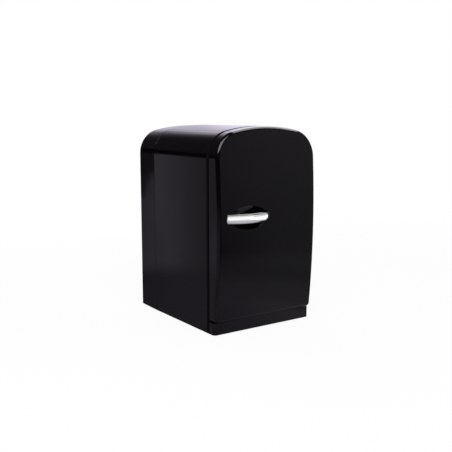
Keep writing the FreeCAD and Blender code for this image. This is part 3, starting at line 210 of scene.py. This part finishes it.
# ---- Finishes, one for each material slot -----------------------------------------------
def gloss_black(finish, colour, gloss):
    """Polished black moulding: faint wipe marks in its gloss and a trace of orange peel."""
    cloud = finish.noise(9.0, detail=4.0)
    wipe = finish.noise(60.0, detail=2.0, stretch=(1.0, 1.0, 0.15))
    peel = finish.noise(520.0, detail=1.0)
    darker = tuple(channel * 0.8 for channel in colour)
    return finish.node("ShaderNodeBsdfPrincipled", inputs={
        "Base Color": finish.mix(cloud, darker, colour),
        "Roughness": gloss + cloud * 0.02 + wipe * 0.015,
        "IOR": 1.5,
        "Normal": finish.bump(peel, 0.00001, 0.35),
    })


def case_black(finish):
    """Gloss black, with a painted shadow: dull and near black on the edges where the door meets the case."""
    colours = bpy.context.scene.fridge_finish
    gloss = gloss_black(finish, tuple(colours.case_colour), colours.case_roughness)
    # Painted shadow: a dull near-black band stands in for the shade in the seam between the door and the
    # case.
    painted_seam_shadow = finish.node("ShaderNodeBsdfPrincipled", inputs={
        "Base Color": (0.0055, 0.0055, 0.0055, 1.0),
        "Roughness": 1.0,
        "Specular IOR Level": 0.0,
    })
    seam_shadow_mask = finish.parts()[1].between(seam_shadow_front, seam_shadow_back, seam_shadow_soft)
    finish.output(finish.node("ShaderNodeMixShader", inputs={0: seam_shadow_mask, 1: gloss, 2: painted_seam_shadow}))


def base_black(finish):
    """Fine spark-eroded grain of a hidden black moulding."""
    grain = finish.noise(2600.0, detail=2.0)
    cloud = finish.noise(35.0)
    finish.surface({
        "Base Color": finish.mix(cloud, (0.012, 0.012, 0.013), (0.022, 0.022, 0.023)),
        "Roughness": 0.48 + grain * 0.16,
        "Normal": finish.bump(grain, 0.00005, 0.5),
    })


def liner_white(finish):
    """White polystyrene with a satin face, a little warmer where it is thin."""
    clean = tuple(bpy.context.scene.fridge_finish.liner_colour)
    grain = finish.noise(1500.0, detail=2.0)
    cloud = finish.noise(7.0)
    warm = tuple(channel * share for channel, share in zip(clean, (0.99, 0.965, 0.92)))
    finish.surface({
        "Base Color": finish.mix(cloud * 0.6, clean, warm),
        "Roughness": 0.28 + grain * 0.1 + cloud * 0.05,
        "Normal": finish.bump(grain, 0.00003, 0.35),
    })


def rail_clear(finish):
    """Milky moulded rails of the door pocket."""
    cloud = finish.noise(30.0)
    finish.surface({
        "Base Color": finish.mix(cloud, (0.62, 0.67, 0.71), (0.74, 0.78, 0.81)),
        "Roughness": 0.12 + cloud * 0.1,
    })


def foam(finish):
    """Rigid foam: a skin of small closed cells, tanned in patches."""
    cell = finish.cells(900.0)
    cloud = finish.noise(25.0)
    finish.surface({
        "Base Color": finish.mix(cloud, (0.86, 0.80, 0.60), (0.76, 0.66, 0.42)),
        "Roughness": 0.9,
        "Normal": finish.bump(cell, 0.0004, 0.6),
    })


def chrome(finish):
    """Polished plating over a moulded bar."""
    haze = finish.noise(14.0, detail=4.0)
    finish.surface({
        "Base Color": finish.mix(haze, (0.80, 0.815, 0.80), (0.87, 0.885, 0.87)),
        "Metallic": 1.0,
        "Roughness": 0.035 + haze * 0.04,
    })


def gasket(finish):
    """Soft seal, slightly chalky, with a trace of dust in its folds."""
    cloud = finish.noise(40.0)
    grain = finish.noise(1800.0, detail=2.0)
    finish.surface({
        "Base Color": finish.mix(cloud, (0.60, 0.60, 0.58), (0.72, 0.72, 0.70)),
        "Roughness": 0.55 + grain * 0.15,
        "Normal": finish.bump(grain, 0.00003, 0.4),
    })


def foot_rubber(finish):
    grain = finish.noise(1200.0, detail=3.0)
    finish.surface({
        "Base Color": finish.mix(grain, (0.018, 0.018, 0.018), (0.034, 0.034, 0.034)),
        "Roughness": 0.8 + grain * 0.1,
        "Normal": finish.bump(grain, 0.00006, 0.5),
    })


def steel(finish):
    """Zinc plating with a faint straw and blue cast, drawn one way."""
    cast = finish.noise(70.0)
    drawn = finish.noise(900.0, stretch=(1.0, 1.0, 0.06))
    finish.surface({
        "Base Color": finish.mix(cast, (0.56, 0.57, 0.60), (0.62, 0.60, 0.54)),
        "Metallic": 1.0,
        "Roughness": 0.26 + drawn * 0.14,
        "Normal": finish.bump(drawn, 0.00002, 0.4),
    })


def acetal(finish):
    cloud = finish.noise(60.0)
    finish.surface({
        "Base Color": finish.mix(cloud, (0.74, 0.73, 0.68), (0.82, 0.82, 0.78)),
        "Roughness": 0.32 + cloud * 0.1,
    })


def ferrite(finish):
    grain = finish.noise(1600.0, detail=4.0)
    finish.surface({
        "Base Color": finish.mix(grain, (0.055, 0.055, 0.055), (0.10, 0.10, 0.10)),
        "Roughness": 0.7 + grain * 0.15,
        "Normal": finish.bump(grain, 0.00008, 0.5),
    })


def aluminium(finish):
    """Extruded metal with die lines along its length."""
    lines = finish.noise(1400.0, stretch=(1.0, 1.0, 0.02))
    cloud = finish.noise(30.0)
    finish.surface({
        "Base Color": finish.mix(cloud, (0.70, 0.71, 0.72), (0.80, 0.81, 0.82)),
        "Metallic": 1.0,
        "Roughness": 0.27 + lines * 0.16,
        "Normal": finish.bump(lines, 0.00002, 0.5),
    })


def ceramic(finish):
    grain = finish.noise(900.0)
    finish.surface({
        "Base Color": finish.mix(grain, (0.80, 0.80, 0.77), (0.87, 0.87, 0.85)),
        "Roughness": 0.5 + grain * 0.1,
    })


def bulkhead(finish):
    grain = finish.noise(1500.0)
    finish.surface({
        "Base Color": finish.mix(grain, (0.26, 0.26, 0.27), (0.32, 0.32, 0.33)),
        "Roughness": 0.5 + grain * 0.1,
    })


def board_green(finish):
    """Lacquered board: paler lines where copper runs under the lacquer."""
    edge = finish.cells(140.0, "DISTANCE_TO_EDGE")
    track = 1 - (edge * 14.0).clamped()
    finish.surface({
        "Base Color": finish.mix(track, (0.02, 0.15, 0.07), (0.08, 0.30, 0.14)),
        "Roughness": 0.28 + track * 0.1,
        "Normal": finish.bump(track, 0.00004, 0.5),
    })


def core_iron(finish):
    """Stacked laminations under varnish."""
    sheets = finish.noise(500.0, stretch=(0.02, 4.0, 0.02))
    finish.surface({
        "Base Color": finish.mix(sheets, (0.10, 0.09, 0.08), (0.26, 0.24, 0.22)),
        "Metallic": 0.7,
        "Roughness": 0.45 + sheets * 0.2,
    })


def capacitor_sleeve(finish):
    cloud = finish.noise(200.0)
    finish.surface({
        "Base Color": finish.mix(cloud, (0.015, 0.016, 0.05), (0.03, 0.03, 0.08)),
        "Roughness": 0.3 + cloud * 0.1,
    })


def rocker_grey(finish):
    grain = finish.noise(2200.0)
    finish.surface({
        "Base Color": finish.mix(grain, (0.03, 0.03, 0.033), (0.05, 0.05, 0.055)),
        "Roughness": 0.35 + grain * 0.1,
    })


def lens(finish, deep, pale):
    """Tinted lens of an unlit lamp."""
    cloud = finish.noise(900.0)
    finish.surface({
        "Base Color": finish.mix(cloud, deep, pale),
        "Roughness": 0.15 + cloud * 0.1,
        "Coat Weight": 0.6,
    })


def lamp_green(finish):
    lens(finish, (0.06, 0.42, 0.14), (0.12, 0.60, 0.22))


def lamp_red(finish):
    lens(finish, (0.50, 0.05, 0.03), (0.70, 0.09, 0.06))


finishes = {
    "case_black": case_black,
    "base_black": base_black,
    "liner_white": liner_white,
    "rail_clear": rail_clear,
    "foam": foam,
    "chrome": chrome,
    "gasket": gasket,
    "foot_rubber": foot_rubber,
    "steel": steel,
    "acetal": acetal,
    "ferrite": ferrite,
    "aluminium": aluminium,
    "ceramic": ceramic,
    "bulkhead": bulkhead,
    "board_green": board_green,
    "core_iron": core_iron,
    "capacitor_sleeve": capacitor_sleeve,
    "rocker_grey": rocker_grey,
    "lamp_green": lamp_green,
    "lamp_red": lamp_red,
}


# ---- Settings ---------------------------------------------------------------------------
class FridgeFinish(bpy.types.PropertyGroup):
    """Colours and gloss of the mouldings."""

    case_colour: bpy.props.FloatVectorProperty(
        name="Case colour", description="Colour of the gloss mouldings", size=3,
        default=(0.0016, 0.0013, 0.0016), min=0.0, max=1.0, subtype="COLOR")
    case_roughness: bpy.props.FloatProperty(
        name="Case roughness", description="Roughness of the gloss mouldings at their shiniest",
        default=0.045, min=0.0, max=1.0, subtype="FACTOR")
    liner_colour: bpy.props.FloatVectorProperty(
        name="Liner colour", description="Colour of the cabinet liner and the door's panel", size=3,
        default=(0.80, 0.81, 0.82), min=0.0, max=1.0, subtype="COLOR")


class FridgeStudio(bpy.types.PropertyGroup):
    """Camera, floor and light."""

    camera_place: bpy.props.FloatVectorProperty(
        name="Camera place", description="Where the camera stands", size=3,
        default=camera_start, subtype="TRANSLATION", unit="LENGTH")
    camera_yaw: bpy.props.FloatProperty(
        name="Camera yaw", description="Camera's turn to the right of straight ahead",
        default=0.6055, subtype="ANGLE")
    camera_pitch: bpy.props.FloatProperty(
        name="Camera pitch", description="Camera's tilt below the horizon", default=0.1558, subtype="ANGLE")
    camera_lens: bpy.props.FloatProperty(
        name="Focal length", description="Focal length on a 36 mm wide sensor", default=56.1,
        subtype="DISTANCE_CAMERA")
    floor_size: bpy.props.FloatProperty(
        name="Floor size", description="Side of the square floor", default=24.0, subtype="DISTANCE",
        unit="LENGTH")
    ambient: bpy.props.FloatProperty(
        name="Room light", description="Soft light from all round", default=0.5, min=0.0)
    key_radiance: bpy.props.FloatProperty(
        name="Key light", description="Brightness of the softbox in front and above",
        default=3.0, min=0.0)
    rear_radiance: bpy.props.FloatProperty(
        name="Rear light", description="Brightness of the wall behind the fridge", default=1.2, min=0.0)
    fill_radiance: bpy.props.FloatProperty(
        name="Rear fill", description="Brightness of the softbox that lights the rear fittings",
        default=2.0, min=0.0)
    over_radiance: bpy.props.FloatProperty(
        name="Overhead light", description="Brightness of the softbox that the door's top edge mirrors",
        default=3.3, min=0.0)


# ---- Tools ------------------------------------------------------------------------------
def start_afresh():
    """Object mode with nothing selected."""
    if bpy.context.object and bpy.context.object.mode != "OBJECT":
        bpy.ops.object.mode_set(mode="OBJECT")
    bpy.ops.object.select_all(action="DESELECT")


def edit(piece):
    """Edit mode on one piece, with nothing on it selected."""
    start_afresh()
    bpy.context.view_layer.objects.active = piece
    piece.select_set(True)
    bpy.ops.object.mode_set(mode="EDIT")
    bpy.ops.mesh.select_mode(type="FACE")
    bpy.ops.mesh.select_all(action="DESELECT")


def choose(piece, kind, test):
    """In edit mode, selects the piece's elements of one kind, VERT or FACE, that pass the test."""
    bpy.ops.mesh.select_all(action="DESELECT")
    bpy.ops.mesh.select_mode(type=kind)
    bpy.ops.object.mode_set(mode="OBJECT")
    elements = {"VERT": piece.data.vertices, "FACE": piece.data.polygons}[kind]
    for element in elements:
        element.select = test(element)
    bpy.ops.object.mode_set(mode="EDIT")


def copied(name, new_name):
    """A copy of a CAD node's mesh as a piece of its own, with its triangles joined up."""
    piece = bpy.data.objects.new(new_name, nodes[name].data.copy())
    piece.data.name = new_name
    bpy.context.scene.collection.objects.link(piece)
    edit(piece)
    bpy.ops.mesh.select_all(action="SELECT")
    bpy.ops.mesh.remove_doubles(threshold=0.000002)
    return piece


# ---- Door seal --------------------------------------------------------------------------
def make_seal(front, depth):
    """Magnetic seal: a flat root, a folded neck and a soft tube that meets the cabinet."""
    root, neck_in, neck_out, tube = (depth * share for share in (0.27, 0.36, 0.55, 0.64))
    neck_fold = 0.0014
    lip, groove_wall, groove_depth = 0.0024, 0.0003, 0.0002
    edge_round = 0.00022
    hair = 0.00001

    # Only the flat ring that lies on the door stays of the plain seal.
    seal = copied("door_gasket", "door_seal")
    choose(seal, "FACE", lambda face: not (face.normal.y < -0.9 and face.center.y < front + 10 * hair))
    bpy.ops.mesh.delete(type="FACE")
    bpy.ops.mesh.select_all(action="SELECT")
    level = 0.0
    for height in (root, neck_in, neck_out, tube, depth):
        bpy.ops.mesh.extrude_region_move(TRANSFORM_OT_translate={"value": (0.0, height - level, 0.0)})
        level = height
    for width, sunk in ((lip, 0.0), (groove_wall, groove_depth)):
        bpy.ops.mesh.inset(thickness=width, depth=0.0)
        bpy.ops.transform.translate(value=(0.0, -sunk, 0.0))
    bpy.ops.mesh.select_all(action="SELECT")
    bpy.ops.mesh.normals_make_consistent(inside=False)

    choose(seal, "VERT", lambda vertex: neck_in - hair < vertex.co.y - front < neck_out + hair)
    bpy.ops.transform.shrink_fatten(value=-neck_fold, use_even_offset=True)
    bpy.ops.mesh.select_all(action="DESELECT")
    bpy.ops.mesh.select_mode(type="EDGE")
    bpy.ops.mesh.edges_select_sharp(sharpness=math.radians(50))
    bpy.ops.mesh.bevel(offset=edge_round, segments=3, affect="EDGES")
    bpy.ops.object.mode_set(mode="OBJECT")
    bpy.ops.object.shade_smooth_by_angle(angle=math.radians(40))
    return seal


# ---- Stage ------------------------------------------------------------------------------
def seen_ray(finish):
    """1 for the camera and for what shows in gloss and glass, 0 for the light that falls on things."""
    camera, gloss, glass = (finish.node("ShaderNodeLightPath", output=name)
                            for name in ("Is Camera Ray", "Is Glossy Ray", "Is Transmission Ray"))
    return (camera + gloss + glass).clamped()


def set_world(ambient):
    world = bpy.data.worlds.new("studio_room")
    world.use_nodes = True
    finish = Finish(world.node_tree)
    strength = ambient + seen_ray(finish) * (1.0 - ambient)
    shader = finish.node("ShaderNodeBackground", inputs={"Color": white, "Strength": strength})
    finish.node("ShaderNodeOutputWorld", inputs={"Surface": shader})
    bpy.context.scene.world = world


def level_distance(east, north):
    return (east * east + north * north) ** 0.5


def make_floor(size):
    """White floor that takes the shadow, and shows a little of its own shade close to the fridge."""
    start_afresh()
    bpy.ops.mesh.primitive_plane_add(size=size, location=(0.0, 0.0, 0.0))
    floor = bpy.context.object
    floor.name = "studio_floor"
    material, finish = new_finish("pale_floor")
    lit = finish.node("ShaderNodeBsdfDiffuse", inputs={"Color": (0.86, 0.86, 0.86, 1.0)})
    plain = finish.node("ShaderNodeEmission", inputs={"Color": white, "Strength": 1.0})
    east, north = finish.parts()[:2]
    cleared = seen_ray(finish) * level_distance(east, north).along(0.6, 1.5, ((0.6, 0.93), (1.5, 1.0)))
    finish.output(finish.node("ShaderNodeMixShader", inputs={0: cleared, 1: lit, 2: plain}))
    floor.data.materials.append(material)


# ---- Mirrored room ----------------------------------------------------------------------
# Brightness of the room by angle, in degrees. Heights count from the horizon, turns from straight back.
haze_by_height = (
    (-16.0, 0.145), (-12.0, 0.14), (-4.0, 0.165), (1.0, 0.205), (5.0, 0.225), (8.0, 0.24), (15.0, 0.16),
    (22.0, 0.02))
wall_by_turn = (
    (-9.0, 0.0), (-5.0, 0.02), (-1.0, 0.04), (2.0, 0.08), (5.0, 0.15), (8.0, 0.25), (10.8, 0.39), (12.6, 0.6),
    (15.0, 0.98), (19.0, 1.1), (25.0, 1.2), (28.0, 1.3), (33.0, 1.3), (45.0, 1.1), (58.0, 0.9), (75.0, 0.0))
wall_by_height = ((4.0, 0.5), (13.0, 0.58), (19.0, 0.62), (25.5, 0.84), (29.0, 0.97))
panel_by_turn = (
    (10.0, 0.0), (16.0, 0.1), (22.0, 0.12), (25.5, 0.135), (28.0, 0.25), (29.4, 0.26), (30.4, 0.225),
    (31.3, 0.185), (32.3, 0.15), (33.2, 0.135), (35.0, 0.15), (42.0, 0.1), (60.0, 0.0))
panel_top_by_turn = ((25.0, -6.6), (25.6, -5.3), (26.2, -4.4), (28.5, -1.0))
cover_edge_by_turn = ((23.9, 0.67), (25.05, 1.27))
dim_by_height = ((-6.0, 0.02), (0.0, 0.015), (6.0, 0.005), (12.0, 0.045))
# Brightness of the table by distance from the fridge, and beside it by turn.
front_by_reach = ((0.05, 0.26), (0.12, 0.25), (0.22, 0.24), (0.31, 0.16), (0.6, 0.13))
beside_by_turn = ((24.0, 0.03), (27.0, 0.07), (30.0, 0.115), (33.0, 0.14), (34.0, 0.16), (45.0, 0.18))
pale_by_reach = ((0.25, 0.1), (0.6, 0.45), (1.3, 0.6), (3.0, 0.3))


def looked_at(place, centre):
    """The place's three distances from the centre, and its level distance."""
    east, north, up = [part - middle for part, middle in zip(place, centre)]
    return east, north, up, level_distance(east, north)


def haze_ahead(height, ahead):
    """A grey haze in front and to the right, brightest just above the horizon."""
    haze = height.along(-20.0, 24.0, haze_by_height)
    return haze * ahead.rise(6.0, 42.0) * (1 - ahead.rise(60.0, 100.0))


def wall_behind(height, behind):
    """A bright wall behind, to the right, above the horizon."""
    wall = behind.along(-9.0, 75.0, wall_by_turn) * height.along(4.0, 30.0, wall_by_height)
    wall = wall * height.between(2.0, 42.0, 4.0)
    wall = wall * (1 + (behind + height * 0.25).rise(33.0, 37.0) * 0.5)
    wall = wall * (1 + behind.rise(20.0, 24.5) * height.rise(19.0, 24.0) * 0.5)
    return wall * (1 - behind.between(10.0, 18.5, 3.0) * (1 - height.rise(26.5, 29.5)) * 0.4)


def panel_beside(place):
    """Grey panels beside the fridge that end near the horizon. Both sides mirror the same one."""
    across, along, up = place
    east, north, above, level = looked_at((across.size(), along, up), side_eye)
    side = east.degrees(north)
    height = above.degrees(level)
    top = side.along(24.0, 28.5, panel_top_by_turn)
    # Dims the panel's light by 0.28 at turns below about 29 degrees and heights below about -11 degrees.
    dimmer_stretch = (1 - side.rise(28.8, 30.2)) * (1 - height.rise(-11.0, -6.0)) * 0.28
    fuller = side.rise(33.0, 33.5) * (1 - height.rise(-10.5, -7.0)) * 0.4
    panel = side.along(8.0, 60.0, panel_by_turn) * (1 - (height - top).rise(-0.7, 0.7)) * (1 - dimmer_stretch + fuller)
    # What the rear cover mirrors from farther off is dark, up to a slanting edge.
    outside = across.size() - case_half
    turn = outside.degrees(along - cover_middle)
    edge = turn.along(23.5, 25.5, cover_edge_by_turn)
    return panel * (1 - (1 - turn.rise(26.0, 27.5)) * (outside - edge).rise(-0.02, 0.02) * 0.86)


def room_radiance(finish, place, wall_level):
    """Brightness and tint of the room that the gloss mirrors, at one place on its walls or floor."""
    east, north, up, level = looked_at(place, fridge_middle)
    height = up.degrees(level)
    ahead = east.degrees(north * -1.0)
    wall = wall_behind(height, east.degrees(north))
    dim = height.along(-6.0, 12.0, dim_by_height)
    brightness = dim + haze_ahead(height, ahead) + panel_beside(place) + wall * wall_level
    tint = finish.mix(ahead.rise(6.0, 42.0), (1.0, 0.9, 1.1), (1.0, 0.94, 1.05))
    tint = finish.mix(wall, tint, (0.88, 0.82, 1.0))
    return brightness, tint


def table_radiance(place, far):
    """Brightness of the table: far away as given, and its own near the fridge."""
    east, north, up, reach = looked_at(place, fridge_middle)
    side = (east.size() - side_eye[0]).degrees(place[1] - side_eye[1])
    left = (east * -1.0).rise(0.05, 0.3) * side.rise(36.0, 50.0)
    far = far + left * (1 - reach.rise(0.8, 2.6)) * 0.15
    # Close to the fridge: what the door mirrors in front, and what the side mirrors.
    front = (north * -1.0).rise(-0.01, 0.03)
    near = 1 - (reach + front * 0.16).rise(0.43, 0.63)
    before = reach.along(0.0, 0.6, front_by_reach) + east * (1 - reach.rise(0.1, 0.15)) * 0.9
    before = before * (1 - east.rise(0.17, 0.195) * north.rise(-0.13, -0.09) * 0.85)
    beside = side.along(20.0, 60.0, beside_by_turn)
    brightness = far * (1 - near) + (beside * (1 - front) + before * front) * near
    # A paler stretch of floor behind and to the right, which shows in the rear cover and the hinge side.
    at_back = north.rise(0.24, 0.5) * (east + north * 0.15).rise(-0.02, 0.1)
    at_right = east.rise(0.12, 0.4) * (north + 0.15).rise(0.0, 0.3)
    return brightness + reach.along(0.2, 3.0, pale_by_reach) * (1 - (1 - at_back) * (1 - at_right))


def make_card(piece, name, wall_level, nearby=None):
    """Makes a new object part of the mirrored room: it shines, but only into gloss."""
    piece.name = name
    material, finish = new_finish(name + "_glow")
    material.cycles.emission_sampling = "NONE"
    place = finish.parts()
    brightness, tint = room_radiance(finish, place, wall_level)
    if nearby:
        brightness = nearby(place, brightness)
    finish.output(finish.node("ShaderNodeEmission", inputs={"Color": tint, "Strength": brightness}))
    piece.data.materials.append(material)
    piece.visible_camera = False
    piece.visible_diffuse = False
    piece.visible_shadow = False
    piece.visible_transmission = False


def make_room(studio):
    """The dim room round the fridge, as the gloss mirrors it: a wide dome and a round table."""
    radius = studio.floor_size * room_share
    start_afresh()
    bpy.ops.mesh.primitive_uv_sphere_add(segments=48, ring_count=24, radius=radius)
    make_card(bpy.context.object, "room_dome", studio.rear_radiance)

    start_afresh()
    bpy.ops.mesh.primitive_circle_add(vertices=64, radius=radius, fill_type="NGON",
                                      location=(0.0, 0.0, table_height))
    bpy.ops.object.transform_apply()
    make_card(bpy.context.object, "room_table", studio.rear_radiance, table_radiance)


# ---- Lamps and camera -------------------------------------------------------------------
def add_softbox(name, place, aim, size, radiance):
    """Rectangular lamp at place, turned to aim."""
    lamp = bpy.data.lights.new(name, "AREA")
    lamp.shape = "RECTANGLE"
    lamp.size, lamp.size_y = size
    lamp.energy = 4.0 * radiance * size[0] * size[1]  # the power that gives this radiance
    holder = bpy.data.objects.new(name, lamp)
    holder.location = place
    holder.rotation_euler = (Vector(aim) - Vector(place)).to_track_quat("-Z", "Y").to_euler()
    holder.visible_camera = False
    bpy.context.scene.collection.objects.link(holder)
    return holder


def link_light(lamp, names, state):
    """Lets the lamp light only the named pieces, with INCLUDE, or all but them, with EXCLUDE."""
    group = bpy.data.collections.new(lamp.name + "_receivers")
    for name in names:
        group.objects.link(nodes[name])
    for entry in group.collection_objects:
        entry.light_linking.link_state = state
    lamp.light_linking.receiver_collection = group


def pieces_of(*slots):
    return [name for name, slot in slot_of.items() if slot in slots]


def light_fridge(studio):
    """A key softbox in front, one behind for the rear fittings and one overhead for the gloss black."""
    key = add_softbox("key_softbox", (-0.67, -1.17, 1.43), (0.0, -0.092, 0.16), (1.6, 1.3),
                      studio.key_radiance)
    link_light(key, pieces_of("chrome"), "EXCLUDE")
    rear = add_softbox("rear_softbox", (0.35, 1.55, 0.75), (0.0, 0.13, 0.17), (1.2, 0.9),
                       studio.fill_radiance)
    link_light(rear, pieces_of("case_black", "chrome"), "EXCLUDE")
    over = add_softbox("over_softbox", (1.43, 0.03, 2.3), (0.0, -0.09, 0.25), (3.6, 1.6),
                       studio.over_radiance)
    link_light(over, pieces_of("case_black"), "INCLUDE")


def light_metal():
    """Soft strips that only the metal mirrors: in front, to the right and on the floor."""
    metal = pieces_of("chrome", "aluminium", "steel")
    # Each strip's place, the point it faces, its width and height, and its radiance.
    strips = {
        "strip_level": ((-1.5, -4.0, 0.78), (-1.5, 0.0, 0.78), (9.0, 1.55), 0.88),
        "strip_corner": ((5.5, -4.0, 0.5), (5.5, 0.0, 0.5), (5.0, 1.0), 0.8),
        "strip_high": ((1.0, -4.0, 2.7), (1.0, 0.0, 2.7), (14.0, 2.2), 0.6),
        "strip_over": ((0.6, -2.2, 5.6), (0.6, -1.0, 0.2), (8.0, 3.0), 0.25),
        "strip_far": ((1.0, -2.45, 0.006), (1.0, -2.45, 1.0), (14.0, 3.1), 0.85),
        "strip_near": ((0.2, -0.55, 0.005), (0.2, -0.55, 1.0), (2.0, 0.7), 0.24),
        "strip_between": ((0.2, -0.68, 0.007), (0.2, -0.68, 1.0), (2.0, 0.44), 0.3),
        "strip_right": ((3.5, -0.9, 0.28), (0.0, -0.9, 0.28), (1.85, 0.55), 0.72),
        "strip_right_high": ((3.5, -0.8, 1.4), (0.0, -0.8, 1.4), (2.0, 1.6), 0.3),
        "strip_side": ((2.3, -0.4, 0.004), (2.3, -0.4, 1.0), (3.4, 1.0), 0.5),
        "strip_side_near": ((2.15, -0.4, 0.003), (2.15, -0.4, 1.0), (3.7, 1.0), 0.42),
    }
    for name, (place, aim, size, radiance) in strips.items():
        link_light(add_softbox(name, place, aim, size, radiance), metal, "INCLUDE")


def make_camera(studio):
    camera = bpy.data.objects.new("camera", bpy.data.cameras.new("camera"))
    camera.data.lens = studio.camera_lens
    camera.data.sensor_width = 36.0
    camera.data.clip_start = 0.01
    camera.data.clip_end = 100.0
    camera.location = studio.camera_place
    camera.rotation_euler = (math.pi / 2 - studio.camera_pitch, 0.0, -studio.camera_yaw)
    bpy.context.scene.collection.objects.link(camera)
    bpy.context.scene.camera = camera


# ---- Operators --------------------------------------------------------------------------
made = {}  # the materials, by slot


class FRIDGE_OT_finishes(bpy.types.Operator):
    """Gives every carried-over piece the finish of its material slot"""

    bl_idname = "fridge.finishes"
    bl_label = "Finish the Mouldings and Metal"

    def execute(self, context):
        for slot, build in finishes.items():
            material, finish = new_finish(slot)
            build(finish)
            made[slot] = material
        for name, piece in nodes.items():
            for holder in piece.material_slots:
                holder.material = made[slot_of[name]]
        return {"FINISHED"}


class FRIDGE_OT_seal(bpy.types.Operator):
    """Models the magnetic seal that stands in for the plain ring of the door"""

    bl_idname = "fridge.seal"
    bl_label = "Fit the Door Seal"

    def execute(self, context):
        lowest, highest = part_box("door_gasket")
        seal = make_seal(lowest[1], highest[1] - lowest[1])
        seal.data.materials.clear()
        seal.data.materials.append(made["gasket"])
        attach(seal, "door")
        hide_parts("door_gasket")
        return {"FINISHED"}


class FRIDGE_OT_studio(bpy.types.Operator):
    """Sets up the floor, the mirrored room, the light and the camera"""

    bl_idname = "fridge.studio"
    bl_label = "Set Up the Studio"

    def execute(self, context):
        studio = context.scene.fridge_studio
        set_world(studio.ambient)
        make_floor(studio.floor_size)
        make_room(studio)
        make_camera(studio)
        light_fridge(studio)
        light_metal()
        context.scene.view_settings.view_transform = "Standard"
        return {"FINISHED"}


class FRIDGE_PT_sidebar(bpy.types.Panel):
    """Lists the steps that dress the fridge, with their settings"""

    bl_idname = "FRIDGE_PT_sidebar"
    bl_label = "Mini Fridge"
    bl_space_type = "VIEW_3D"
    bl_region_type = "UI"
    bl_category = "Mini Fridge"

    def draw(self, context):
        for step in steps:
            self.layout.operator(step.bl_idname)
        for settings in (context.scene.fridge_finish, context.scene.fridge_studio):
            for name in settings.__annotations__:
                self.layout.prop(settings, name)


steps = (FRIDGE_OT_finishes, FRIDGE_OT_seal, FRIDGE_OT_studio)
settings_groups = {"fridge_finish": FridgeFinish, "fridge_studio": FridgeStudio}


def register():
    for group in settings_groups.values():
        bpy.utils.register_class(group)
    for name, group in settings_groups.items():
        setattr(bpy.types.Scene, name, bpy.props.PointerProperty(type=group))
    for step in steps:
        bpy.utils.register_class(step)
    bpy.utils.register_class(FRIDGE_PT_sidebar)


def unregister():
    bpy.utils.unregister_class(FRIDGE_PT_sidebar)
    for step in reversed(steps):
        bpy.utils.unregister_class(step)
    for name, group in settings_groups.items():
        delattr(bpy.types.Scene, name)
        bpy.utils.unregister_class(group)


def main():
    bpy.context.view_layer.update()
    register()
    bpy.ops.fridge.finishes()
    bpy.ops.fridge.seal()
    bpy.ops.fridge.studio()


if __name__ == "__main__":
    main()
